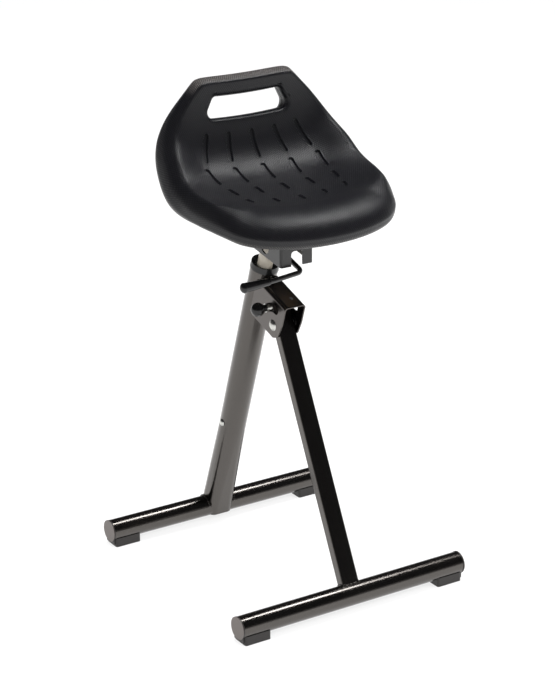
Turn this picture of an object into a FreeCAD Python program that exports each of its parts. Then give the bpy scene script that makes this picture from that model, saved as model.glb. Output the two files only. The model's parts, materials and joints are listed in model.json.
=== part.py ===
"""Folding perch stool: an A-frame of two steel feet, a gas spring column, a folding strut and a moulded seat.

Frame: millimetres, +Z up, the user faces -Y, +X is the user's left hand side as seen from the front.
The origin is on the floor, midway between the two feet.
Two local frames carry most pieces. The column frame starts in the middle of the rear foot tube and
its Z axis runs up the column. The strut frame starts in the middle of the front foot tube and its
Z axis runs up the folding strut. Both lean about X.
"""
import FreeCAD, Part
import math
import os
import re

os.makedirs("parts", exist_ok=True)
doc = FreeCAD.newDocument("perch_stool")
V = FreeCAD.Vector

# Driving dimensions, in millimetres and degrees
SIZES = [
    ("foot_length", 468, "tube with both end caps"),
    ("foot_tube_diameter", 40, "round tube of both feet"),
    ("foot_tube_wall", 2, ""),
    ("foot_spacing", 453, "between the axes of the two feet"),
    ("foot_axis_height", 28.2, "above the floor"),
    ("cap_disc_thickness", 3, "end cap of a foot"),
    ("cap_disc_overhang", 0.5, "proud of the tube"),
    ("cap_plug_length", 22, "inside the tube"),
    ("cap_fit", 0.1, "radial gap of the plug and of the pad saddle"),
    ("pad_length", 51.5, "rectangular pad under the end of a foot"),
    ("pad_inset", 5.5, "from the cap's outer face"),
    ("pad_width", 36, ""),
    ("pad_height", 17, ""),
    ("pad_corner", 4, ""),
    ("column_lean", 18.17, "forward of vertical"),
    ("column_diameter", 50, ""),
    ("column_wall", 2, ""),
    ("column_length", 552, "from the foot tube axis to the upper end"),
    ("squeeze_top", 190, "where the round tube starts to flatten"),
    ("squeeze_width", 54, "across the flattened end"),
    ("squeeze_depth", 43.5, "fore and aft at the flattened end"),
    ("squeeze_corner", 15, ""),
    ("squeeze_overlap", 10, "how far the end reaches below the foot tube axis"),
    ("bush_length", 60, "inside the column"),
    ("bush_fit", 0.1, "radial gap to the column"),
    ("bush_flange_height", 11, ""),
    ("bush_flange_overhang", 1, "proud of the column"),
    ("bush_mouth_diameter", 43, "funnel at the top of the bush"),
    ("bush_mouth_depth", 7, ""),
    ("spring_diameter", 28, "pressure tube of the gas spring"),
    ("spring_wall", 2, ""),
    ("spring_running_gap", 0.08, "radial, in the bush"),
    ("spring_low", 262, "lower end of the pressure tube, seat down"),
    ("spring_high", 650, "upper end of the pressure tube, seat down"),
    ("spring_gland", 18, "thickness of the seal at its lower end"),
    ("spring_head", 40, "solid valve head at its upper end"),
    ("taper_length", 46, "cone at the upper end"),
    ("taper_drop", 1, "how much less its radius is at the top"),
    ("keyway_width", 6, ""),
    ("keyway_depth", 1.2, ""),
    ("keyway_low", 290, ""),
    ("keyway_high", 573, ""),
    ("key_height", 547, "guide screw, above the foot tube axis"),
    ("key_tip_diameter", 5, ""),
    ("key_recess", 0.4, "outer end below the column's surface"),
    ("rod_diameter", 10, "piston rod"),
    ("rod_running_gap", 0.05, ""),
    ("piston_length", 16, ""),
    ("piston_top", 590, ""),
    ("piston_gap", 0.1, ""),
    ("anchor_height", 204, "cross rivet that holds the piston rod"),
    ("anchor_rivet_diameter", 8, ""),
    ("anchor_head_diameter", 14, ""),
    ("anchor_head_height", 3.5, ""),
    ("anchor_block_height", 26, "cross block on the rivet"),
    ("anchor_block_gap", 0.6, "all round, in the column"),
    ("bracket_width", 43, "outside"),
    ("bracket_plate", 2.5, ""),
    ("bracket_bend", 7, "outer bend radius"),
    ("bracket_low", 466, "lower edge above the foot tube axis"),
    ("bracket_high", 542, "upper face"),
    ("bracket_reach", 110, "front edge, forward of the column axis"),
    ("bracket_nose", 18, "how far the lower front corner is drawn back"),
    ("bracket_nose_rise", 9.5, ""),
    ("pivot_forward", 84.4, "fold pivot, forward of the column axis"),
    ("pivot_up", 488.5, "fold pivot, above the foot tube axis"),
    ("pivot_diameter", 12, ""),
    ("pivot_running_gap", 0.06, ""),
    ("pivot_head_diameter", 21, ""),
    ("pivot_head_height", 5, ""),
    ("pivot_sleeve_wall", 2, ""),
    ("washer_diameter", 26, ""),
    ("washer_gap", 0.1, "left beside each washer"),
    ("latch_radius", 32, "latch axis from the fold pivot"),
    ("slot_width", 16, "curved slot for the latch sleeve"),
    ("sleeve_gap", 0.3, "latch sleeve in the curved slot"),
    ("sleeve_proud", 6, "latch sleeve outside the bracket"),
    ("strut_width", 35, ""),
    ("strut_depth", 20, ""),
    ("strut_wall", 2, ""),
    ("strut_corner", 4, ""),
    ("strut_above_pivot", 45, ""),
    ("plug_length", 16, "inside the top of the strut"),
    ("plug_crown", 2, ""),
    ("latch_pin_diameter", 9, ""),
    ("latch_pin_gap", 0.08, ""),
    ("latch_nose", 5, "pin end outside the bracket on the far side"),
    ("clip_diameter", 13.6, "retaining ring on the latch pin"),
    ("clip_thickness", 1.2, ""),
    ("knob_diameter", 25, ""),
    ("knob_centre", 43, "from the middle plane"),
    ("knob_neck_diameter", 13, ""),
    ("latch_spring_wire", 1.2, ""),
    ("latch_spring_turns", 4, ""),
    ("top_rivet_diameter", 7, "head on the bracket's top plate"),
    ("top_rivet_forward", 86, ""),
    ("top_rivet_side", 5, "towards +X"),
    ("carrier_width", 67, "outside of the side plates"),
    ("carrier_plate", 3, ""),
    ("carrier_front", -51, "front face"),
    ("carrier_rear", 82, ""),
    ("carrier_bottom", 585, "lower edge at the front"),
    ("carrier_slope", 9, "lower edge, rising to the rear"),
    ("carrier_top", 666, "upper face, under the seat"),
    ("carrier_flange_width", 180, "top plate"),
    ("carrier_flange_front", -70, ""),
    ("carrier_flange_rear", 66, ""),
    ("carrier_bend", 5, "rounded front corners"),
    ("notch_width", 24, "for the lever, in the front plate"),
    ("notch_top", 612, ""),
    ("window_radius", 12.5, "hole in each side plate"),
    ("window_back", 0, ""),
    ("window_height", 611, ""),
    ("socket_wall", 4, "cone socket"),
    ("socket_length", 44, ""),
    ("socket_plate_up", 612, "middle of the plate that holds the socket"),
    ("socket_plate_half", 23, "half its fore and aft length"),
    ("lever_diameter", 8.8, "bent rod"),
    ("lever_corner_front", -67, "where the rod turns sideways"),
    ("lever_corner_height", 578.5, ""),
    ("lever_rise", 16, "slope of the rod towards the rear"),
    ("lever_side_angle", 5.2, "of the sideways run, forward of square"),
    ("lever_side_drop", 2.9, "degrees"),
    ("grip_rise", 3.2, "bend of the rod at the grip, degrees"),
    ("lever_bend", 12, "bend radius on the centre line"),
    ("lever_upright", -9, "where the rod turns up inside the carrier"),
    ("lever_pivot_height", 648, ""),
    ("lever_pivot_diameter", 8, ""),
    ("lever_pivot_gap", 0.08, ""),
    ("lever_hub_diameter", 15, ""),
    ("lever_hub_width", 34, ""),
    ("finger_width", 12, "flat that presses the valve"),
    ("finger_thickness", 4, ""),
    ("finger_gap", 0.4, "above the valve pin at rest"),
    ("grip_start", 72, "inner end, along the sideways run"),
    ("grip_length", 60, ""),
    ("grip_inner_diameter", 12.4, ""),
    ("grip_outer_diameter", 18, ""),
    ("valve_diameter", 7, ""),
    ("valve_gap", 0.06, ""),
    ("valve_proud", 5, "above the gas spring at rest"),
    ("valve_depth", 22, ""),
    ("valve_room", 6, "left below the valve pin"),
    ("insert_length", 156, "plywood plate in the seat, fore and aft"),
    ("insert_width", 220, ""),
    ("insert_thickness", 8, ""),
    ("insert_front", -82, ""),
    ("insert_corner", 20, ""),
    ("insert_gap", 0.3, ""),
    ("screw_spacing_x", 150, "seat screws"),
    ("screw_spacing_y", 100, ""),
    ("screw_diameter", 8, ""),
    ("screw_hole", 8.6, ""),
    ("screw_head_diameter", 14, ""),
    ("screw_head_height", 5, ""),
    ("seat_half_width", 190, ""),
    ("seat_front", -172, "front of the seat on the middle plane"),
    ("seat_widest", 20, "fore and aft place of the greatest width"),
    ("seat_corner_power", 2.5, "roundness of the front corners, 2 is an ellipse"),
    ("pan_start_y", -104, "top line on the middle plane starts here"),
    ("pan_start_z", 710.7, ""),
    ("pan_start_angle", 1.2, ""),
    ("pan_end_angle", 11.4, ""),
    ("pan_length", 128, ""),
    ("bend_end_angle", 71.9, ""),
    ("bend_length", 101, ""),
    ("back_end_angle", 93, ""),
    ("back_length", 94, ""),
    ("seat_dish", 5, "rise of the surface at dish_reach from the middle"),
    ("dish_reach", 105, ""),
    ("handle_half_width", 87, "where the level top edge ends"),
    ("side_slope", 1.4, "fall of the side edge for each mm outwards"),
    ("side_end", 172, "where the side edge falls more steeply"),
    ("wing_extra", 36, "how much thicker the seat is at its sides"),
    ("handle_crown", 0.2, "height of the rounded top edge over its thickness"),
    ("wing_crown", 0.42, "the same at the sides"),
    ("side_roll", 12, "width of the rounded outer side"),
    ("side_roll_drop", 22, "how far the surface falls over it"),
    ("side_tuck", 26, "rise of the underside towards the side"),
    ("belly", 15, "extra depth under the bend, over the plywood plate"),
    ("seat_low_front", 657, "lower lip at the front"),
    ("seat_low_slope", 0.05, ""),
    ("seat_nose_height", 676, "height of the foremost line"),
    ("roll_length", 62, "rounded front"),
    ("back_thickness", 31, "at the top of the handle"),
    ("shoulder_thickness", 37, "where the back straightens"),
    ("slot_top_half", 62, "handle opening, half its upper width"),
    ("slot_bottom_half", 76, ""),
    ("slot_top", 855, ""),
    ("slot_bottom", 818, ""),
    ("slot_corner", 9, ""),
    ("slot_lip", 7, "how far the opening widens at each face"),
    ("slot_lip_depth", 9, ""),
    ("rivet_dome_ratio", 1.15, "ball radius of a small rivet head over its own radius"),
    ("grip_end_wall", 10, "solid end of the grip beyond the rod"),
    ("grip_crown", 0.6, "height of the grip's rounded end over its radius"),
    ("side_roll_arc", 0.99, "share of the quarter turn that the rolled side takes"),
    ("tuck_start", 0.75, "share of the half width where the underside begins to rise"),
    ("belly_reach", 0.8, "share of the half width that the belly covers"),
    ("belly_lean", 0.8, "below 1 moves the belly's peak up the bend"),
    ("roll_side_loss", 0.45, "how much shorter the rounded front is at the sides"),
    ("least_surface", 14, "least length of the upper surface in a section"),
    ("nose_under", 14, "from the foremost line back to the level underside"),
    ("nose_back", 0.293, "middle of the rounded front, back over its length"),
    ("nose_fullness", 0.74, "middle of the rounded front, up over its rise"),
    ("lip_round", 3, "middle of the lower lip, back from the foremost line"),
    ("lip_fullness", 0.66, "middle of the lower lip, down over its fall"),
    ("under_sag", 0.4, "sag of the underside"),
    ("first_joint", 0.4, "where the arcs of a section meet, share of its upper line"),
    ("second_joint", 0.7, ""),
    ("groove_width", 6.5, "rows of grooves in the seat's surface"),
    ("groove_depth", 2.4, ""),
]

sheet = doc.addObject("Spreadsheet::Sheet", "sizes")
for row, (alias, number, note) in enumerate(SIZES, start=1):
    sheet.set("A%d" % row, alias)
    sheet.set("B%d" % row, str(number))
    sheet.set("C%d" % row, note)
    sheet.setAlias("B%d" % row, alias)
doc.recompute()
NAMES = re.compile(r"\b(" + "|".join(alias for alias, _, _ in SIZES) + r")\b")


def val(alias):
    """The number in a named cell."""
    return float(sheet.get(alias))


def bind(obj, prop, formula):
    """Bind a property to a formula of cell names."""
    obj.setExpression(prop, NAMES.sub(r"sizes.\1", formula))


# Places of the pivot and of the strut that follow from the sizes
LEAN = math.radians(val("column_lean"))


def column_point(forward, up, x=0.0):
    """A point of the column frame in the stool's frame."""
    y = val("foot_spacing") / 2 - up * math.sin(LEAN) - forward * math.cos(LEAN)
    z = val("foot_axis_height") + up * math.cos(LEAN) - forward * math.sin(LEAN)
    return V(x, y, z)


PIVOT_Y = ("(foot_spacing/2 - pivot_up*sin(column_lean*1deg)"
           " - pivot_forward*cos(column_lean*1deg))")
PIVOT_Z = ("(foot_axis_height + pivot_up*cos(column_lean*1deg)"
           " - pivot_forward*sin(column_lean*1deg))")
STRUT_RUN = "(%s + foot_spacing/2)" % PIVOT_Y
STRUT_RISE = "(%s - foot_axis_height)" % PIVOT_Z
STRUT_LEAN = "atan(%s / %s)" % (STRUT_RUN, STRUT_RISE)
STRUT_TO_PIVOT = "sqrt(%s^2 + %s^2)" % (STRUT_RUN, STRUT_RISE)
pivot = column_point(val("pivot_forward"), val("pivot_up"))
strut_run = pivot.y + val("foot_spacing") / 2
strut_rise = pivot.z - val("foot_axis_height")
strut_lean = math.degrees(math.atan2(strut_run, strut_rise))
strut_to_pivot = math.hypot(strut_run, strut_rise)
fold_angle = strut_lean + val("column_lean")

AXES = {"X": (V(0, 1, 0), 90), "Y": (V(1, 0, 0), -90), "Z": (V(0, 0, 1), 0)}


def place(obj, x="0", y="0", z="0", axis="Z"):
    """Put a primitive at formulas x, y, z with its own Z axis along a named axis."""
    turn, angle = AXES[axis]
    obj.Placement = FreeCAD.Placement(V(0, 0, 0), FreeCAD.Rotation(turn, angle))
    bind(obj, "Placement.Base.x", x)
    bind(obj, "Placement.Base.y", y)
    bind(obj, "Placement.Base.z", z)
    return obj


def cylinder(name, radius, height, x="0", y="0", z="0", axis="Z"):
    """Cylinder whose base centre is at x, y, z."""
    obj = doc.addObject("Part::Cylinder", name)
    bind(obj, "Radius", radius)
    bind(obj, "Height", height)
    return place(obj, x, y, z, axis)


def cone(name, radius, top_radius, height, x="0", y="0", z="0", axis="Z"):
    """Cone frustum whose base centre is at x, y, z."""
    obj = doc.addObject("Part::Cone", name)
    bind(obj, "Radius1", radius)
    bind(obj, "Radius2", top_radius)
    bind(obj, "Height", height)
    return place(obj, x, y, z, axis)


def sphere(name, radius, x="0", y="0", z="0"):
    """Ball with its centre at x, y, z."""
    obj = doc.addObject("Part::Sphere", name)
    bind(obj, "Radius", radius)
    return place(obj, x, y, z)


def box(name, length, width, height, x, y, z):
    """Box from its lowest corner."""
    obj = doc.addObject("Part::Box", name)
    bind(obj, "Length", length)
    bind(obj, "Width", width)
    bind(obj, "Height", height)
    return place(obj, x, y, z)


def fuse(name, shapes):
    """Union of several objects."""
    obj = doc.addObject("Part::MultiFuse", name)
    obj.Shapes = shapes
    obj.Refine = True
    return obj


def cut(name, base, tools):
    """One object less several others."""
    obj = doc.addObject("Part::Cut", name)
    obj.Base = base
    obj.Tool = tools[0] if len(tools) == 1 else fuse(name + "_tools", tools)
    return obj


def feature(name, shape):
    """A shape made with Part's own functions."""
    obj = doc.addObject("Part::Feature", name)
    obj.Shape = shape
    return obj


NODES = []


def node(obj, label):
    """Make an object one of the stool's named pieces."""
    obj.Label = label
    NODES.append(obj)
    return obj


def in_column(obj):
    """Stand a piece that was made along Z on the rear foot, along the column."""
    obj.Placement = FreeCAD.Placement(V(0, 0, 0), FreeCAD.Rotation(V(1, 0, 0), 0))
    bind(obj, "Placement.Base.y", "foot_spacing/2")
    bind(obj, "Placement.Base.z", "foot_axis_height")
    bind(obj, "Placement.Rotation.Angle", "column_lean")
    return obj


def in_strut(obj):
    """Stand a piece that was made along Z on the front foot, along the strut."""
    obj.Placement = FreeCAD.Placement(V(0, 0, 0), FreeCAD.Rotation(V(-1, 0, 0), 0))
    bind(obj, "Placement.Base.y", "-foot_spacing/2")
    bind(obj, "Placement.Base.z", "foot_axis_height")
    bind(obj, "Placement.Rotation.Angle", STRUT_LEAN)
    return obj


SHARP = 0.01  # corner radius that stands for a sharp corner


def rounded_polygon(points, radii):
    """Closed wire through corner points, each corner rounded by its radius."""
    count = len(points)
    edges = []
    starts, ends = [], []
    for i in range(count):
        corner, before, after = points[i], points[i - 1], points[(i + 1) % count]
        u, w = (before - corner).normalize(), (after - corner).normalize()
        half = u.getAngle(w) / 2
        set_back = radii[i] / math.tan(half)
        bisector = (u + w).normalize()
        centre = corner + bisector * (radii[i] / math.sin(half))
        starts.append(corner + u * set_back)
        ends.append(corner + w * set_back)
        edges.append(Part.Arc(starts[i], centre - bisector * radii[i], ends[i]).toShape())
    for i in range(count):
        edges.append(Part.LineSegment(ends[i], starts[(i + 1) % count]).toShape())
    return Part.Wire(Part.__sortEdges__(edges))


def rectangle_wire(width, depth, corner, z, y=0.0):
    """Rounded rectangle about the Z axis at a height."""
    a, b = width / 2, depth / 2
    points = [V(-a, y - b, z), V(a, y - b, z), V(a, y + b, z), V(-a, y + b, z)]
    return rounded_polygon(points, [corner] * 4)


# Feet: two round tubes with a moulded cap and pad at each end
def foot_tube(label, y):
    """Round tube across the stool."""
    reach = "(foot_length/2 - cap_disc_thickness)"
    outer = cylinder(label + "_outer", "foot_tube_diameter/2", "2*" + reach, "-" + reach, axis="X")
    bore = cylinder(label + "_bore", "foot_tube_diameter/2 - foot_tube_wall", "2*" + reach + " + 2",
                    "-%s - 1" % reach, axis="X")
    tube = cut(label + "_solid", outer, [bore])
    bind(tube, "Placement.Base.y", y)
    bind(tube, "Placement.Base.z", "foot_axis_height")
    return node(tube, label)


def foot_cap(label, side, y):
    """Disc, plug and pad in one moulding, made at the +X end and turned for the other."""
    body = doc.addObject("PartDesign::Body", label + "_body")
    pad = body.newObject("PartDesign::AdditiveBox", label + "_pad")
    bind(pad, "Length", "pad_length")
    bind(pad, "Width", "pad_width")
    bind(pad, "Height", "pad_height")
    bind(pad, "Placement.Base.x", "foot_length/2 - pad_inset - pad_length")
    bind(pad, "Placement.Base.y", "-pad_width/2")
    doc.recompute()
    corners = body.newObject("PartDesign::Fillet", label + "_corners")
    corners.Base = (pad, ["Edge1", "Edge3", "Edge5", "Edge7"])
    bind(corners, "Radius", "pad_corner")
    rib = body.newObject("PartDesign::AdditiveBox", label + "_rib")
    bind(rib, "Length", "cap_disc_thickness")
    bind(rib, "Width", "pad_width - 2*pad_corner")
    bind(rib, "Height", "foot_axis_height - pad_height/4")
    bind(rib, "Placement.Base.x", "foot_length/2 - pad_inset")
    bind(rib, "Placement.Base.y", "pad_corner - pad_width/2")
    bind(rib, "Placement.Base.z", "pad_height/4")
    saddle = body.newObject("PartDesign::SubtractiveCylinder", label + "_saddle")
    place(saddle, "foot_length/2 - cap_disc_thickness - 2*pad_length", "0", "foot_axis_height", "X")
    bind(saddle, "Radius", "foot_tube_diameter/2 + cap_fit")
    bind(saddle, "Height", "2*pad_length")
    disc = body.newObject("PartDesign::AdditiveCylinder", label + "_disc")
    place(disc, "foot_length/2 - cap_disc_thickness", "0", "foot_axis_height", "X")
    bind(disc, "Radius", "foot_tube_diameter/2 + cap_disc_overhang")
    bind(disc, "Height", "cap_disc_thickness")
    plug = body.newObject("PartDesign::AdditiveCylinder", label + "_plug")
    place(plug, "foot_length/2 - cap_disc_thickness - cap_plug_length", "0", "foot_axis_height", "X")
    bind(plug, "Radius", "foot_tube_diameter/2 - foot_tube_wall - cap_fit")
    bind(plug, "Height", "cap_plug_length")
    doc.recompute()
    body.Placement = FreeCAD.Placement(V(0, 0, 0), FreeCAD.Rotation(V(0, 0, 1), 0 if side > 0 else 180))
    bind(body, "Placement.Base.y", y)
    return node(body, label)


foot_tube("rear_foot_tube", "foot_spacing/2")
foot_tube("front_foot_tube", "-foot_spacing/2")
for end, place_y in (("rear", "foot_spacing/2"), ("front", "-foot_spacing/2")):
    foot_cap(end + "_left_foot_cap", -1, place_y)
    foot_cap(end + "_right_foot_cap", 1, place_y)


# Column: round tube, squeezed to straddle the rear foot tube and cut to sit on it
def squeezed_tube():
    """Loft of the flattened lower end, joined to the round tube, hollow all the way."""
    shells = []
    round_gap = 0.1
    for inset in (0, val("column_wall")):
        round_d = val("column_diameter") - 2 * inset
        low = rectangle_wire(val("squeeze_width") - 2 * inset, val("squeeze_depth") - 2 * inset,
                             val("squeeze_corner") - inset, -val("squeeze_overlap"))
        high = rectangle_wire(round_d, round_d, round_d / 2 - round_gap, val("squeeze_top"))
        shells.append(Part.makeLoft([low, high], True, True))
    upper = val("column_length") - val("squeeze_top")
    radius = val("column_diameter") / 2
    tube = Part.makeCylinder(radius, upper, V(0, 0, val("squeeze_top")))
    bore = Part.makeCylinder(radius - val("column_wall"), upper + 1, V(0, 0, val("squeeze_top") - 0.5))
    return shells[0].fuse(tube).cut(shells[1].fuse(bore))


column_tools = [
    cylinder("column_saddle", "foot_tube_diameter/2", "2*squeeze_width", "-squeeze_width", axis="X"),
    cylinder("column_anchor_hole", "anchor_rivet_diameter/2", "2*column_diameter",
             "-column_diameter", "0", "anchor_height", "X"),
    cylinder("column_key_hole", "key_tip_diameter/2", "column_diameter", "0", "-column_diameter",
             "key_height", "Y"),
]
in_column(node(cut("column_solid", feature("column_blank", squeezed_tube()), column_tools), "column_tube"))

# Guide bush in the top of the column
bush_body = fuse("bush_blank", [
    cylinder("bush_stem", "column_diameter/2 - column_wall - bush_fit", "bush_length", "0", "0",
             "column_length - bush_length"),
    cone("bush_flange", "column_diameter/2 + bush_flange_overhang",
         "column_diameter/2 + bush_flange_overhang - 1", "bush_flange_height", "0", "0", "column_length"),
])
bush_tools = [
    cylinder("bush_bore", "spring_diameter/2 + spring_running_gap", "bush_length + 2*bush_flange_height",
             "0", "0", "column_length - bush_length - 1"),
    cone("bush_mouth", "spring_diameter/2 + 1", "bush_mouth_diameter/2", "bush_mouth_depth + 0.01", "0",
         "0", "column_length + bush_flange_height - bush_mouth_depth"),
    cylinder("bush_key_hole", "key_tip_diameter/2", "column_diameter", "0", "-column_diameter", "key_height",
             "Y"),
]
in_column(node(cut("bush_solid", bush_body, bush_tools), "column_bush"))

# Guide screw through column and bush into the keyway of the gas spring
key_stem = cylinder("key_stem", "key_tip_diameter/2",
                    "column_diameter/2 - key_recess - spring_diameter/2 + keyway_depth - 0.3", "0",
                    "key_recess - column_diameter/2", "key_height", "Y")
key_socket = cylinder("key_socket", "key_tip_diameter/4", "key_tip_diameter/2", "0",
                      "-column_diameter/2", "key_height", "Y")
in_column(node(cut("key_solid", key_stem, [key_socket]), "guide_screw"))

# Gas spring: pressure tube with its cone, piston rod, piston and valve pin
spring_blank = fuse("spring_blank", [
    cylinder("spring_tube", "spring_diameter/2", "spring_high - taper_length - spring_low", "0", "0",
             "spring_low"),
    cone("spring_taper", "spring_diameter/2", "spring_diameter/2 - taper_drop", "taper_length", "0", "0",
         "spring_high - taper_length"),
])
spring_tools = [
    cylinder("spring_bore", "spring_diameter/2 - spring_wall",
             "spring_high - spring_head - spring_low - spring_gland", "0", "0", "spring_low + spring_gland"),
    cylinder("spring_rod_bore", "rod_diameter/2 + rod_running_gap", "spring_gland + 2", "0", "0",
             "spring_low - 1"),
    cylinder("spring_valve_bore", "valve_diameter/2 + valve_gap", "valve_depth + valve_room + 1", "0", "0",
             "spring_high - valve_depth - valve_room"),
    box("spring_keyway", "keyway_width", "2*keyway_depth", "keyway_high - keyway_low", "-keyway_width/2",
        "-spring_diameter/2 - keyway_depth", "keyway_low"),
]
in_column(node(cut("spring_solid", spring_blank, spring_tools), "gas_cylinder"))
rod_foot = "(anchor_height + anchor_rivet_diameter/2)"


def turned(label, radius, low, height, rounding):
    """Turned piece on the column's axis, its upper edge rounded."""
    body = doc.addObject("PartDesign::Body", label + "_body")
    bar = body.newObject("PartDesign::AdditiveCylinder", label + "_bar")
    bind(bar, "Radius", radius)
    bind(bar, "Height", height)
    bind(bar, "Placement.Base.z", low)
    doc.recompute()
    rims = bar.Shape.Edges
    upper = max(range(len(rims)), key=lambda i: rims[i].BoundBox.ZMin)
    edge = body.newObject("PartDesign::Fillet", label + "_edge")
    edge.Base = (bar, ["Edge%d" % (upper + 1)])
    bind(edge, "Radius", rounding)
    doc.recompute()
    return in_column(node(body, label))


turned("piston_rod", "rod_diameter/2", rod_foot, "piston_top - piston_length - " + rod_foot,
       "rod_diameter/20")
turned("piston", "spring_diameter/2 - spring_wall - piston_gap", "piston_top - piston_length",
       "piston_length", "piston_length/16")
turned("valve_pin", "valve_diameter/2", "spring_high - valve_depth", "valve_depth + valve_proud",
       "valve_diameter/4")

# Cross rivet and block that hold the foot of the piston rod
block_radius = "(column_diameter/2 - column_wall - anchor_block_gap)"
block = cylinder("anchor_blank", block_radius, "anchor_block_height", "0", "0",
                 "anchor_height - anchor_block_height/2")
block_flats = [
    box("anchor_flat_%s" % name, "4*column_diameter", "column_diameter", "2*anchor_block_height",
        "-2*column_diameter", y, "anchor_height - anchor_block_height")
    for name, y in (("front", "-column_diameter - 10"), ("rear", "10"))]
block_holes = [
    cylinder("anchor_rivet_hole", "anchor_rivet_diameter/2", "2*column_diameter", "-column_diameter",
             "0", "anchor_height", "X"),
    cylinder("anchor_rod_hole", "rod_diameter/2", "anchor_block_height", "0", "0", rod_foot)]
in_column(node(cut("anchor_solid", block, block_flats + block_holes), "rod_anchor_block"))


def rivet(name, shank_d, head_d, head_height, half_span, y, z):
    """Rivet along X with a domed head against each outer face."""
    dome_radius = "((%s/2)^2 + %s^2)/(2*%s)" % (head_d, head_height, head_height)
    shank = cylinder(name + "_shank", shank_d + "/2", "2*" + half_span, "-" + half_span, y, z, "X")
    heads = []
    for side, word in ((-1, "near"), (1, "far")):
        sign = "+" if side > 0 else "-"
        centre = "%s(%s + %s - %s)" % (sign, half_span, head_height, dome_radius)
        ball = sphere("%s_%s_ball" % (name, word), dome_radius, centre, y, z)
        start = half_span if side > 0 else "-%s - 2*%s" % (half_span, head_height)
        slab = cylinder("%s_%s_slab" % (name, word), head_d, "2*" + head_height, start, y, z, "X")
        dome = doc.addObject("Part::Common", "%s_%s_head" % (name, word))
        dome.Base = ball
        dome.Tool = slab
        heads.append(dome)
    return fuse(name + "_solid", [shank] + heads)


in_column(node(rivet("anchor_rivet", "anchor_rivet_diameter", "anchor_head_diameter",
                     "anchor_head_height", "(column_diameter/2 + 0.15)", "0", "anchor_height"), "rod_anchor_rivet"))


# Fold bracket: a channel open below, welded to the front of the column
BRACKET_CORNERS = (2, 3, 6, 10, 12, 2, 1)  # radii from the lower rear corner, forward and up


def bracket_profile():
    """Side view outline of the bracket in the column frame, rounded at its free corners."""
    low, high, reach = val("bracket_low"), val("bracket_high"), val("bracket_reach")
    nose, rise, rear = val("bracket_nose"), val("bracket_nose_rise"), val("column_diameter") / 4
    points = [V(0, -rear, low + rise), V(0, -rear - rise, low), V(0, -reach + nose, low),
              V(0, -reach + nose / 4, low + rise), V(0, -reach, low + nose + rise * 2), V(0, -reach, high),
              V(0, -rear, high)]
    return Part.Face(rounded_polygon(points, BRACKET_CORNERS))


def bracket_shape():
    """Channel with bent upper corners, trimmed to the outline, slotted and drilled."""
    half, plate, bend = val("bracket_width") / 2, val("bracket_plate"), val("bracket_bend")
    reach, low, high = val("bracket_reach") + 1, val("bracket_low") - 1, val("bracket_high")

    def channel(inset):
        wide, top, radius = half - inset, high - inset, bend - inset
        edge = [V(-wide, 0, low), V(wide, 0, low), V(wide, 0, top), V(-wide, 0, top)]
        wire = rounded_polygon(edge, [SHARP, SHARP, radius, radius])
        return Part.Face(wire).extrude(V(0, -reach, 0))

    inner = channel(plate)
    inner.translate(V(0, 0, -plate))
    inner = inner.fuse(channel(plate))
    solid = channel(0).cut(inner)
    outline = bracket_profile()
    outline.translate(V(-half - 1, 0, 0))
    solid = solid.common(outline.extrude(V(2 * half + 2, 0, 0)))
    y, z = -val("pivot_forward"), val("pivot_up")
    radius, width = val("latch_radius"), val("slot_width")
    span = math.radians(fold_angle)

    def on_arc(r, angle):
        return V(-half - 1, y - r * math.sin(angle), z + r * math.cos(angle))

    # In the column frame the strut works fold_angle behind the folded place, which is straight up
    a0, a1 = -span, 0.0
    outer, inside = radius + width / 2, radius - width / 2
    tip0 = on_arc(radius, a0) + V(0, math.cos(a0), math.sin(a0)) * (width / 2)
    tip1 = on_arc(radius, a1) - V(0, math.cos(a1), math.sin(a1)) * (width / 2)
    middle = (a0 + a1) / 2
    slot = Part.Wire([
        Part.Arc(on_arc(outer, a0), on_arc(outer, middle), on_arc(outer, a1)).toShape(),
        Part.Arc(on_arc(outer, a1), tip1, on_arc(inside, a1)).toShape(),
        Part.Arc(on_arc(inside, a1), on_arc(inside, middle), on_arc(inside, a0)).toShape(),
        Part.Arc(on_arc(inside, a0), tip0, on_arc(outer, a0)).toShape()])
    solid = solid.cut(Part.Face(slot).extrude(V(2 * half + 2, 0, 0)))
    hole = Part.makeCylinder(val("pivot_diameter") / 2, 2 * half + 2, V(-half - 1, y, z), V(1, 0, 0))
    column = Part.makeCylinder(val("column_diameter") / 2, val("column_length"))
    return solid.cut(hole).cut(column)


in_column(node(feature("bracket_blank", bracket_shape()), "fold_bracket"))
in_column(node(rivet("pivot_pin", "pivot_diameter", "pivot_head_diameter", "pivot_head_height",
                     "(bracket_width/2)", "-pivot_forward", "pivot_up"), "pivot_rivet"))


def top_rivet_shape():
    """Small domed rivet through the bracket's top plate."""
    r, top = val("top_rivet_diameter") / 2, val("bracket_high")
    x, y = val("top_rivet_side"), -val("top_rivet_forward")
    ball_r = r * val("rivet_dome_ratio")
    domes = []
    for sign, face in ((1, top), (-1, top - val("bracket_plate"))):
        ball = Part.makeSphere(ball_r, V(x, y, face - sign * math.sqrt(ball_r ** 2 - r ** 2)))
        domes.append(ball.common(Part.makeCylinder(2 * r, 2 * r, V(x, y, face), V(0, 0, sign))))
    shank = Part.makeCylinder(r / 2, val("bracket_plate"), V(x, y, top - val("bracket_plate")))
    return shank.fuse(domes)


bracket = NODES[-2]
rivet_hole = Part.makeCylinder(val("top_rivet_diameter") / 4, 4 * val("bracket_plate"),
                               V(val("top_rivet_side"), -val("top_rivet_forward"),
                                 val("bracket_high") - 2 * val("bracket_plate")))
bracket.Shape = bracket.Shape.cut(rivet_hole)
in_column(bracket)
in_column(node(feature("top_rivet", top_rivet_shape()), "bracket_rivet"))


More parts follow.
